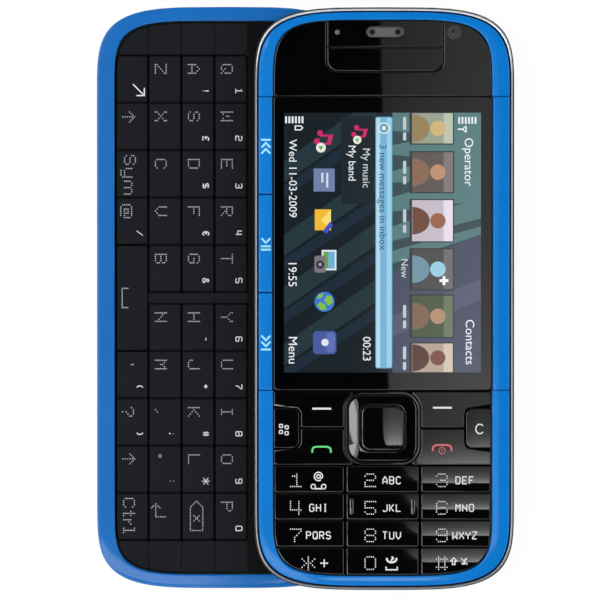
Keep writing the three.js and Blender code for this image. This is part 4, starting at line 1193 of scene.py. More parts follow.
class PHONE_OT_letter_keys(bpy.types.Operator):
    """Letter caps in six strips, slightly crowned, with their dotted characters"""

    bl_idname = "phone.letter_keys"
    bl_label = "Letter keys"

    def execute(self, context):
        for name in STRIPS:
            self.strip(name)
        self.space_bar()
        return {"FINISHED"}

    def cap_at(self, column, middle_y, half_y):
        """A cap and the height of its top."""
        s = sizes()
        low, high = node_box("qwerty_top_row")
        x = column_centre(column)
        half_x = COLUMN_PITCH / 2 - CAP_GAP / 2
        shape = box_about((x, middle_y), (half_x, half_y), CAP_CORNER)
        shape = meet(shape, opening(RIM_INSET, 0.45), CAP_CORNER)
        crown = mm(s.cap_crown)
        height = crowned(high[2], (crown, crown), (x, middle_y), (half_x, half_y))
        part = cap(shape, (x, middle_y), low[2] + 0.35, height, mm(s.cap_rounding), 96)
        return part, height

    def web(self, name):
        """Thin black sheet that carries a strip's caps."""
        low = node_box(name)[0][2]
        shape = box_over(name, -0.05, -0.05, CAP_CORNER)
        shape = meet(shape, opening(RIM_INSET, 0.35), CAP_CORNER)
        part = cap(shape, middle_of(name), low, level(low + 0.4), 0.05, 120)
        add_piece(name + "_web", name, [part], "mat")

    def strip(self, name):
        """A strip's web and caps with their dotted main and plain second characters."""
        s = sizes()
        column, first, main, second = STRIPS[name]
        self.web(name)
        pitch = mm(s.dot_pitch), mm(s.dot_rise)
        parts, dotted, bright = [], [], []
        for row, (large, small) in enumerate(zip(main, second), first):
            centre = np.array([column_centre(column), row_centre(row)])
            part, height = self.cap_at(column, centre[1], LETTER_PITCH / 2 - CAP_GAP / 2)
            parts.append(part)
            spots = self.special((name, row), centre, pitch)
            if large != " ":
                spots = matrix_spots(large, centre + MAIN_PLACE, pitch, LETTER_DOTS, 5, True)
            if spots is not None:
                dotted += dots(spots, mm(s.dot_radius), height)
            if small != " ":
                tall, wide = 1.75 if small == "*" else 1.16, 0.6 if small in "/*" else 0.78
                lines = lettered(small, centre + SECOND_PLACE, tall, 1.1, True)
                bright += ribbons(lines, mm(s.ink_width) * wide, height)
            if (name, row) == ("qwerty_bottom_left", 0):
                strokes, place = SLANTING_ARROW
                bright += ribbons(placed(strokes, centre + place), mm(s.ink_width), height)
        add_piece(name + "_caps", name, parts, "cap", [name])
        add_piece(name + "_letters", name, dotted, "soft_ink")
        if bright:
            add_piece(name + "_signs", name, bright, "ink")

    def special(self, key, centre, pitch):
        """Dot centres of a sign that isn't a single character, if the cap has one."""
        if key not in SPECIAL_SIGNS:
            return None
        sign, place = SPECIAL_SIGNS[key]
        if sign in WORD_DOTS:
            return word_spots(sign, centre + place, pitch)
        return spots_along(placed(sign, centre + place, True), pitch[0] * 1.1)

    def space_bar(self):
        """The space bar, marked with an open bracket of dots."""
        s = sizes()
        low, high = node_box("space_bar")
        part, height = self.cap_at(0, 0.0, (high[1] - low[1]) / 2)
        self.web("space_bar")
        add_piece("space_bar_cap", "space_bar", [part], "cap", ["space_bar"])
        x = column_centre(0) - 1.9
        bracket = [np.array([[x + 1.1, 1.85], [x, 1.85], [x, -1.85], [x + 1.1, -1.85]])]
        marks = dots(spots_along(bracket, mm(s.dot_rise)), mm(s.dot_radius), height)
        add_piece("space_bar_letters", "space_bar", marks, "soft_ink")


PAINTED_IN_SLIDE = {
    "slide_spring": "steel", "slider_board": "board", "display_panel": "jack", "dpad_pivot": "cap",
}


class PHONE_OT_slide(bpy.types.Operator):
    """Steel guide, rail and wire spring of the slide, and the board above them"""

    bl_idname = "phone.slide"
    bl_label = "Slide mechanism"

    def execute(self, context):
        dressed("slide_guide", "keyboard_half", "steel", "steel", 0.0001)
        dressed("slide_rail", "display_half", "steel", "steel", 0.00006)
        for node, look in PAINTED_IN_SLIDE.items():
            paint(node, look)
        return {"FINISHED"}


# Strokes of the signs beside the window, and the photo's row that they lie on
MUSIC_SIGNS = {
    "music_prev": (
        "-0.95,1.35 0.95,1.35;-0.85,-0.15 0,0.75 0.85,-0.15;-0.85,-1.3 0,-0.4 0.85,-1.3", 147.3,
    ),
    "music_play": ("-0.85,1.2 0,0.3 0.85,1.2;-0.95,-0.35 0.95,-0.35;-0.95,-1.0 0.95,-1.0", 244.6),
    "music_next": (
        "-0.95,-1.35 0.95,-1.35;-0.85,0.15 0,-0.75 0.85,0.15;-0.85,1.3 0,0.4 0.85,1.3", 342.3,
    ),
}


# Silver line: depth and edge radius. The black wall under it: how far below the line its top and
# the step behind it lie, its edge radius, and the gap between the two
TRIM_DEPTH = 1.9
TRIM_EDGE = 0.22
WALL_DROP = 0.9
WALL_STEP = 2.0
WALL_EDGE = 0.08
WALL_GAP = 0.03
# Top panel's fields: sides, the line between the two, foot, groove round them and edge radius
FIELD_LEFT, FIELD_RIGHT = TRAVEL - 11.04, TRAVEL + 11.36
FIELD_SPLIT = 48.4
FIELD_FOOT = 43.7
FIELD_GROOVE = 0.11
FIELD_ROUNDING = 0.19
BEYOND_END = 64
# Sound holes beside the ear grille, and the rings round them
HOLE_RADIUS = 0.42
HOLE_RING = 0.68


class PHONE_OT_display_shell(bpy.types.Operator):
    """Back cover, silver trim, blue ring, strips beside the window and the top panel"""

    bl_idname = "phone.display_shell"
    bl_label = "Display half shell"

    def execute(self, context):
        dressed("slider_back_cover", "display_half", "cover", "cover_black", 0.0001)
        self.trim()
        self.ring()
        self.strips()
        self.top_panel()
        self.ear_grille()
        self.front_camera()
        self.light_sensor()
        self.mat()
        return {"FINISHED"}

    def trim(self):
        """Silver line on a black wall that stands further out."""
        s = sizes()
        low, high = node_box("chrome_trim")
        near = mm(s.trim_inset)
        far = near + mm(s.trim_width)
        places = stations((-STRAIGHT, STRAIGHT))
        none = (0, 0, 0, 0)
        silver = tube_section(high[2] - TRIM_DEPTH, high[2], near, far, TRIM_EDGE)
        line = band(none, none, silver, places, TRAVEL)
        add_piece("silver_trim", "display_half", [line], "silver", ["chrome_trim"])
        inner, step = near - WALL_GAP, high[2] - WALL_STEP
        wall = tube_section(low[2], high[2] - WALL_DROP, 0.02, inner, WALL_EDGE, 4)[:-1]
        wall += [(0, inner, step), (0, far, step), (0, far, low[2])]
        part = band(none, none, wall, places, TRAVEL)
        add_piece("trim_wall", "display_half", [part], "cover")

    def ring(self):
        """Blue ring round the display half, lower where the strips beside the window lie on it."""
        s = sizes()
        low, high = node_box("front_frame")
        start = TRIM_WIDTH - 0.05
        top_row = node_box("music_prev")[1][1] + SEAM
        bottom_row = node_box("music_next")[0][1] - SEAM
        ledge = low[2] + 0.5

        def lowered(heights, places):
            """Between the strips' ends the ring drops to a ledge; a doubled row makes the step."""
            across, up, rows = places
            flat = up == 0
            first = np.concatenate(([True], np.diff(rows) != 0))
            inside = flat & (rows <= top_row + 1e-6) & (rows >= bottom_row - 1e-6)
            right = across > 0
            edge = (np.abs(rows - bottom_row) < 1e-6) & np.where(right, first, ~first)
            edge |= (np.abs(rows - top_row) < 1e-6) & np.where(right, ~first, first)
            keep = inside & ~edge
            return np.where(keep[:, None], np.minimum(heights, ledge), heights)

        section = sloped_section(low[2], high[2], mm(s.rim_rounding), mm(s.rim_fall), low[2])
        places = stations((-STRAIGHT, bottom_row, bottom_row, top_row, top_row))
        part = band((start,) * 4, RING_INSET, section, places, TRAVEL, lowered)
        add_piece("blue_ring", "display_half", [part], "ring", ["front_frame"])

    def strips(self):
        """The three music keys and the plain strip on the right, with their signs."""
        s = sizes()
        edge = mm(s.rim_rounding)
        for node in ("music_prev", "music_play", "music_next", "right_accent_bar"):
            low, high = node_box(node)
            body = "display_half" if node == "right_accent_bar" else node
            side = -1 if high[0] < TRAVEL else 1
            low[0] -= 0.2 if side < 0 else 0
            high[0] += 0.2 if side > 0 else 0
            centre = (low[:2] + high[:2]) / 2
            half = (high[:2] - low[:2]) / 2
            shape = rounded_box(low[0], high[0], low[1] - 0.05, high[1] + 0.05, 0.08)
            crest = centre - (side * half[0], 0)
            height = crowned(high[2], (mm(s.rim_fall) / 4, 0), crest, half)
            part = cap(shape, centre, low[2], height, edge * 0.9, 240)
            add_piece(node + "_cap", body, [part], "ring", [node])
            self.sign(node, centre, height)

    def sign(self, node, centre, height):
        """Pale blue sign of a music key: a bar with two chevrons, or one chevron with two bars."""
        if node not in MUSIC_SIGNS:
            return
        strokes, down = MUSIC_SIGNS[node]
        place = centre[0] + 0.1, from_photo(0, down)[1]
        add_piece(node + "_sign", node, ribbons(placed(strokes, place), 0.36, height), "mark")

    def top_panel(self):
        """Polished panel in three fields: a surround open at the top, and the two fields in it."""
        low, high = node_box("top_panel")
        bottom = node_box("display_window")[1][1] + SEAM
        inside = opening(RING_INSET, SEAM, TRAVEL)
        outside = meet(inside, lambda x, y: bottom - y, 0.08)
        groove, edge = FIELD_GROOVE, FIELD_ROUNDING
        left, right = FIELD_LEFT + groove, FIELD_RIGHT - groove
        field = rounded_box(FIELD_LEFT, FIELD_RIGHT, FIELD_FOOT, BEYOND_END, 2.2)
        centre = (FIELD_LEFT + FIELD_RIGHT) / 2, FIELD_SPLIT
        dense = np.linspace(math.pi / 2, 2.5 * math.pi, 4001)
        near = reach_of(field, centre, dense, -groove)
        far = reach_of(outside, centre, dense)
        open_part = dense[near < far - 0.05]
        run = run_length(near * np.cos(dense), near * np.sin(dense))
        ends = np.interp(open_part[[0, -1]], dense, run)
        angles = np.interp(np.linspace(*ends, 260), run, dense)
        near = reach_of(field, centre, angles, -groove)
        far = reach_of(outside, centre, angles)
        narrow = np.minimum(edge, (far - near) / 3)
        away, rise = plate_section(near, far, narrow, narrow * 1.2, low[2], high[2])
        surround = loft(np.stack([*on_rays(centre, angles, away), rise], -1).transpose(1, 0, 2))
        lower = rounded_box(left, right, FIELD_FOOT + groove, BEYOND_END, 2.1)
        lower = meet(lower, lambda x, y: y - FIELD_SPLIT + groove, 0.06)
        middle = centre[0], (FIELD_SPLIT + FIELD_FOOT) / 2
        flap = cap(lower, middle, low[2], level(high[2]), edge, 200)
        upper = rounded_box(left, right, FIELD_SPLIT + groove, BEYOND_END, 0.08)
        upper = meet(upper, inside, 0.1)
        head = holed_plate(upper, self.ear_slot(0), middle_of("earpiece"), low[2], high[2], 0.17)
        parts = [surround, flap, head]
        add_piece(
            "top_panel_fields", "display_half", parts, "window", ["top_panel"]
        )

    def disc(self, centre, radius, low, top, rounding, count=64, dome=0.0):
        """A round plug that falls by dome * (distance / radius)^2."""
        half = (radius, radius)
        shape = box_about(centre, half, radius * 0.999)
        height = crowned(top, (dome, dome), centre, half)
        return cap(shape, centre, low, height, rounding, count)

    def ear_slot(self, inset):
        """Distance to the long slot over the earpiece, moved in by inset."""
        half = np.array(EAR_SIZE) / 2 - inset
        return box_about(middle_of("earpiece"), half, half[1] - 0.01)

    def ear_grille(self):
        """Woven grille in its slot, between two round sound holes."""
        low = node_box("earpiece")[0][2]
        top = node_box("top_panel")[1][2] - 0.06
        centre = middle_of("earpiece")
        plate = cap(self.ear_slot(0.13), centre, low, level(top), 0.05, 120)
        add_piece("ear_grille", "display_half", [plate], "grille", ["earpiece"])
        rim = holed_plate(self.ear_slot(0), self.ear_slot(0.11), centre, low, top + 0.04, 0.04, 160)
        add_piece("ear_rim", "display_half", [rim], "camera_rim")
        rings, holes = [], []
        for side in (-1, 1):
            place = (centre[0] + side * (EAR_SIZE[0] - EAR_SIZE[1]) / 2, centre[1])
            holes.append(self.disc(place, HOLE_RADIUS, top - 0.2, top + 0.04, 0.03, 40))
            rings.append(self.disc(place, HOLE_RING, top - 0.2, top + 0.02, 0.02, 48))
        add_piece("ear_rings", "display_half", rings, "camera_rim")
        add_piece("ear_holes", "display_half", holes, "mat")

    def front_camera(self):
        """Small lens in its dark rim."""
        low, high = node_box("front_camera")
        top = node_box("top_panel")[1][2]
        centre = middle_of("front_camera")
        radius = (high[0] - low[0]) / 2
        rim = self.disc(centre, radius, low[2], top + 0.015, 0.06, 72)
        add_piece(
            "front_camera_rim", "display_half", [rim], "camera_rim", ["front_camera"],
        )
        lens = self.disc(centre, 0.6, top - 0.2, top + 0.05, 0.08, 48, 0.008)
        add_piece("front_camera_lens", "display_half", [lens], "lens")

    def light_sensor(self):
        """Pale eye of the light sensor."""
        low = node_box("light_sensor")[0][2]
        top = node_box("top_panel")[1][2]
        eye = self.disc(middle_of("light_sensor"), 0.48, low, top + 0.03, 0.04, dome=0.02)
        add_piece(
            "light_sensor_eye", "display_half", [eye], "sensor", ["light_sensor"]
        )

    def mat(self):
        """Black sheet over the display half's board, with a hole round the direction pad's foot."""
        board = node_box("slider_board")[1][2]
        shape = opening(RING_INSET, 0.3, TRAVEL)
        hole = box_over("dpad_pivot", 0.4, 0.4, 0.5)
        centre = middle_of("dpad_pivot")
        part = holed_plate(shape, hole, centre, board + 0.02, board + 0.2, 0.05)
        add_piece("pad_mat", "display_half", [part], "mat")


# The lit picture is drawn in screen dots: u runs down the phone and v leftwards from its right edge
SCREEN_TOP_RIGHT = (48.83, 35.83)
SCREEN_DOT = 0.1559
# How far the picture stands above the window, and each shape above the one before
PICTURE_LIFT = 0.006
LAYER = 0.0004


def screen_points(outline_dots):
    """Screen dots as millimetres: the corner's place less dot size * (v, u)."""
    return SCREEN_TOP_RIGHT - SCREEN_DOT * np.array(outline_dots, float)[:, ::-1]


def block(shade, u0, u1, v0, v1, c=0):
    """A rectangle in screen dots, with its corners cut by c."""
    if not c:
        return shade, [(u0, v0), (u1, v0), (u1, v1), (u0, v1)]
    return shade, [
        (u0 + c, v0), (u1 - c, v0), (u1, v0 + c), (u1, v1 - c),
        (u1 - c, v1), (u0 + c, v1), (u0, v1 - c), (u0, v0 + c),
    ]


def spot(shade, u, v, radius, flat=1.0, first=0.0, last=360.0):
    """A circle or a part of one: (u + radius * cos a, v + radius * flat * sin a)."""
    angle = np.radians(np.linspace(first, last, 24, endpoint=last - first < 360))
    return shade, np.stack([u + radius * np.cos(angle), v + radius * flat * np.sin(angle)], -1)


def clipped(points):
    """The part of an outline that lies on the screen: where an edge crosses u = 0 or u = 320, the
    crossing point comes in between its ends, and the ends outside are left out."""
    points = np.array(points, float)
    for side, limit in ((1, 0.0), (-1, -320.0)):
        after = np.roll(points, -1, axis=0)
        depth, depth_after = side * points[:, 0] - limit, side * after[:, 0] - limit
        inside, crossing = depth >= 0, (depth >= 0) != (depth_after >= 0)
        share = depth / np.where(crossing, depth - depth_after, 1)
        both = np.stack([points, points + share[:, None] * (after - points)], axis=1)
        points = both[np.stack([inside, crossing], axis=1)]
    return points


def picture_shapes():
    """The start page: a plain wallpaper, a light bar, tiles with figures, icons and bars."""
    bands = []
    for u in (60, 150, 215, 285):
        wide = [(u, 242.5), (u + 26, 242.5), (u - 52, 129), (u - 80, 129)]
        thin = [(u + 30, 242.5), (u + 44, 242.5), (u - 30, 129), (u - 46, 129)]
        bands += [((37, 55, 62), clipped(wide)), ((30, 44, 58), clipped(thin))]
    wedges = [
        ((84, 122, 124), [(near_low, 109), (near_high, 109), (far_high, 0), (far_low, 0)])
        for near_low, near_high, far_high, far_low in (
            (0, 22, 34, 0), (40, 52, 60, 18), (72, 86, 84, 40), (104, 122, 108, 70),
            (140, 158, 130, 104), (170, 186, 150, 140), (200, 214, 176, 168),
        )
    ]
    return [
        block((24, 33, 38), 0, 320, 0, 242.5), *bands, block((52, 72, 80), 0, 320, 0, 109), *wedges,
        ((68, 74, 96), [(196, 109), (320, 109), (320, 0), (150, 0)]),
        ((84, 88, 112), [(250, 109), (276, 109), (230, 0), (205, 0)]),
        block((30, 40, 46), 4, 112, 132, 172), block((96, 160, 198), 5, 315, 109, 130, 2),
        block((150, 208, 232), 6, 314, 110, 116, 1), block((176, 220, 238), 6, 314, 124, 129, 1),
        block((120, 178, 212), 6, 314, 116, 124), spot((226, 244, 250), 19, 119.5, 7),
        spot((108, 150, 176), 19, 119.5, 5.6), spot((226, 244, 250), 19, 119.5, 2.6),
        *tile_shapes(), *icon_shapes(), *bar_shapes(),
    ]


# Tiles of the start page: first and last u, and the shades of ground and figure
TILES = (
    (0.6, 37.8, (150, 160, 140), (206, 178, 120)), (48.7, 97.7, (92, 84, 80), (188, 142, 112)),
    (107.7, 158.3, (196, 186, 198), (150, 96, 72)), (168.2, 217.2, (74, 72, 72), (150, 204, 226)),
    (225.3, 276.1, (70, 84, 60), (176, 140, 110)), (284.3, 319.6, (176, 160, 142), (120, 72, 60)),
)
PLUS_TILE = TILES[3]


def tile_shapes():
    """Tiles with a plain figure each and, in place of a name, two bars; one has a plus sign."""
    shapes = []
    for tile in TILES:
        low, high, ground, figure = tile
        middle, reach = (low + high) / 2, min(17.0, (high - low) / 2 - 1)
        lighter, darker = [min(c + 34, 255) for c in ground], [int(c * 0.72) for c in figure]
        shapes += [
            block((46, 52, 60), low - 1.5, min(high + 1.5, 320), 33, 88),
            block(ground, low, high, 34.6, 84.8), block(lighter, low, high, 34.6, 46),
            spot(darker, middle, 84.4, reach, 1.25, 180, 360),
            spot(figure, middle, 53, reach * 0.56),
        ]
        for start, stop in ((middle - 14, middle + 2), (middle + 5, middle + 15)):
            if stop < 319 and tile is not PLUS_TILE:
                shapes.append(block((190, 202, 206), start, stop, 92, 96, 1))
    white = (244, 246, 248)
    return [*shapes, block(white, 205, 208.5, 40, 51), block(white, 201.3, 212.2, 43.7, 47.3)]


def icon_shapes():
    """Two notes, a list, a letter with a pen, a camera with a picture, a globe and an app sign."""
    pink, green = (206, 44, 104), (132, 190, 70)
    note = [
        spot(pink, -8, 6, 3.6), spot(pink, 2, 10, 3.6), block(pink, -6, -3.6, -10, 6),
        block(pink, 4, 6.4, -7, 10), (pink, [(-6, -10), (6.4, -7), (6.4, -2), (-6, -5)]),
        spot((232, 236, 226), 10, 5, 6), ((120, 170, 80), [(8, 2), (14, 5), (8, 8)]),
    ]
    notes = [
        (shade, np.array(line) * grow + (u, v))
        for u, v, grow in ((33, 192, 1.0), (25, 148, 0.85)) for shade, line in note
    ]
    return [
        *notes, block((112, 128, 168), 68.7, 97, 180, 206),
        block((214, 222, 236), 74, 92, 188, 190.5), block((214, 222, 236), 74, 86, 194, 196.5),
        block((240, 186, 52), 119, 144.7, 184.7, 204.6),
        ((252, 222, 120), [(119, 184.7), (144.7, 184.7), (131.8, 197)]),
        ((70, 84, 190), [(134, 186), (138, 182), (149, 190), (146, 195)]),
        block((226, 236, 242), 169, 194, 178, 196), block((112, 176, 214), 171, 192, 180, 188),
        block((110, 160, 70), 171, 192, 188, 194), block((120, 118, 122), 176, 197, 191, 205, 2),
        spot((44, 44, 50), 187, 198, 5), spot((150, 156, 170), 187, 198, 2.2),
        spot((64, 122, 206), 232.8, 192.6, 12.3),
        (green, [(226, 184), (234, 182), (238, 188), (231, 193), (225, 190)]),
        (green, [(236, 192), (243, 190), (243, 197), (237, 202), (233, 198)]),
        (green, [(222, 194), (228, 196), (229, 202), (224, 200)]),
        block((74, 92, 160), 269, 297.4, 178, 206.7, 3),
        block((96, 114, 180), 271, 295, 180, 190, 2), spot((226, 232, 244), 283, 192, 4.5),
    ]


def bar_shapes():
    """Bars for reception and charge, with their signs below them."""
    white, ground, dark = (236, 240, 242), (84, 122, 124), (24, 33, 38)
    bars = []
    for place in 5.6 + 4.04 * np.arange(6):
        bars.append(block(white, 5.3, 13.6, place, place + 2.2))
        bars.append(block(white, 4.6, 12.9, place + 213, place + 215.2))
    return [
        *bars, block(white, 19.4, 21.2, 22.5, 28.7),
        (white, [(20.3, 23.8), (15.6, 18.4), (18, 17.5), (22.6, 17.5), (25, 18.4)]),
        (ground, [(20.3, 21.6), (17.6, 19.2), (23, 19.2)]),
        (white, [(15.6, 229.3), (21.8, 229.3), (21.8, 221.3), (18.7, 218.6), (15.6, 221.3)]),
        (dark, [(17, 227.9), (20.4, 227.9), (20.4, 221.9), (18.7, 220.6), (17, 221.9)]),
    ]


# Words of the start page: text, middle in screen dots, height and shade
PALE_WORD, GREY_WORD, DARK_WORD = (240, 243, 245), (206, 214, 218), (44, 92, 132)
PAGE_WORDS = [
    ("Menu", 292.5, 232, 14.6, PALE_WORD), ("19:55", 198.5, 232.5, 14, PALE_WORD),
    ("Wed 11-03-2009", 81, 232, 13.2, PALE_WORD), ("00:23", 291, 141, 13.2, PALE_WORD),
    ("Contacts", 282.5, 14, 14.6, PALE_WORD), ("Operator", 60.5, 15.5, 14.6, PALE_WORD),
    ("My music", 68, 141.5, 12.4, GREY_WORD), ("My band", 62, 159, 12.4, PALE_WORD),
    ("3 new messages in inbox", 104, 121.2, 12.4, DARK_WORD), ("New", 191.5, 94.5, 11.5, GREY_WORD),
]


def flat_part(points, low, high):
    """A thin flat shape with an upright edge, its corners turned anticlockwise first."""
    x, y = points.T
    area = np.sum(x * np.roll(y, -1) - np.roll(x, -1) * y)
    points = points if area > 0 else points[::-1]
    rings = [np.column_stack([points, np.full(len(points), z)]) for z in (low, high)]
    return loft(np.array(rings))


class PHONE_OT_display(bpy.types.Operator):
    """Black polished window with the lit start page"""

    bl_idname = "phone.display"
    bl_label = "Display"

    def execute(self, context):
        low, high = node_box("display_window")
        shape = box_over("display_window", 0, 0, 0.12)
        part = cap(shape, middle_of("display_window"), low[2], level(high[2]), 0.12, 240)
        add_piece("window", "display_half", [part], "window", ["display_window"])
        self.picture(high[2])
        return {"FINISHED"}

    def picture(self, top):
        """Shapes and words of the start page, each a hair above the one before."""
        parts, shades = [], []
        for order, (shade, outline_dots) in enumerate(picture_shapes()):
            high = top + PICTURE_LIFT + LAYER * order
            parts.append(flat_part(screen_points(outline_dots), top - 0.02, high))
            shades.append(linear(*shade))
        above = top + PICTURE_LIFT + LAYER * (len(parts) + 1)
        for text, u, v, tall, shade in PAGE_WORDS:
            parts.append(self.words(text, u, v, tall, above))
            shades.append(linear(*shade))
        add_piece("start_page", "display_half", parts, "picture", shades=shades)

    def words(self, text, u, v, tall, height):
        """Words cut from the font, turned to read towards -y, as one flat closed part."""
        curve = bpy.data.curves.new("words", "FONT")
        curve.body = text
        curve.align_x = "CENTER"
        curve.align_y = "CENTER"
        curve.extrude = 0.5
        curve.resolution_u = 3
        letters = bpy.data.objects.new("words", curve)
        bpy.context.scene.collection.objects.link(letters)
        graph = bpy.context.evaluated_depsgraph_get()
        mesh = bpy.data.meshes.new_from_object(letters.evaluated_get(graph))
        points = np.zeros(len(mesh.vertices) * 3)
        mesh.vertices.foreach_get("co", points)
        points = points.reshape(-1, 3)
        mesh.calc_loop_triangles()
        corners = np.zeros(len(mesh.loop_triangles) * 3, int)
        mesh.loop_triangles.foreach_get("vertices", corners)
        scale = tall * SCREEN_DOT * 1.05
        x, y = screen_points([(u, v)])[0]
        across, up, depth = points.T
        points = np.stack([x + up * scale, y - across * scale, height + (depth - 0.5) * 0.01], -1)
        bpy.data.objects.remove(letters)
        bpy.data.curves.remove(curve)
        bpy.data.meshes.remove(mesh)
        return points, [corners.reshape(-1, 3)]


# Number pad: y of each row, and x of the main character and of its letters in each column
NUMBER_ROWS = (-34.8, -40.1, -45.4, -50.75)
NUMBER_COLUMNS = ((-16.97, -12.6), (-2.65, 1.47), (11.1, 15.5))
STAR_PLACES = (-14.56, -11.5)
# Row, column, main character and letters of each key
NUMBER_KEYS = {
    "key_1": (0, 0, "1", ""), "key_2": (0, 1, "2", "ABC"), "key_3": (0, 2, "3", "DEF"),
    "key_4": (1, 0, "4", "GHI"), "key_5": (1, 1, "5", "JKL"), "key_6": (1, 2, "6", "MNO"),
    "key_7": (2, 0, "7", "PQRS"), "key_8": (2, 1, "8", "TUV"), "key_9": (2, 2, "9", "WXYZ"),
    "key_star": (3, 0, "*", ""), "key_0": (3, 1, "0", ""), "key_hash": (3, 2, "#", ""),
}
# Further signs: strokes, x, how far above the row's y, and width
NUMBER_SIGNS = {
    "key_star": [("0,-0.75 0,0.75;-0.75,0 0.75,0", STAR_PLACES[1], 0, 0.24)],
    "key_0": [
        ("-1.07,-0.66 -1.07,-1.28 1.07,-1.28 1.07,-0.66", 1.47, 0, 0.25),
        (
            "-0.9,1.0 -0.93,0.7 -0.7,0.37 -0.35,0.2 0,0.15 0.35,0.2 0.7,0.37 0.93,0.7 0.9,1.0",
            1.47, 0, 0.36,
        ),
        ("-0.05,1.18 0.22,1.12 0.3,0.9 0.0,0.68 -0.1,0.42 0.0,0.22", 1.47, 0, 0.28),
    ],
    "key_hash": [
        ("-0.62,0.62 0.68,-0.66", 15.39, 0.4, 0.15),
        ("-0.5,-0.5 0.12,-0.5 -0.15,-0.2", 15.39, 0.4, 0.3),
        ("0.05,0.1 0.5,0.55", 15.39, 0.4, 0.28),
    ],
}
# Corner radius of a tab key, how far it runs on under the ring, and a corner key's line width
TAB_CORNER = 1.5
TAB_RUN = 12
SIGN_WIDTH = 0.36
# Room beside a number key, radius of its corners, depth of the last row, which runs out under the
# ring, and how far the middle column leans
NUMBER_SIDE = 0.1
NUMBER_CORNER = 0.3
LAST_ROW_DEPTH = 5.5
NUMBER_LEAN = 0.003


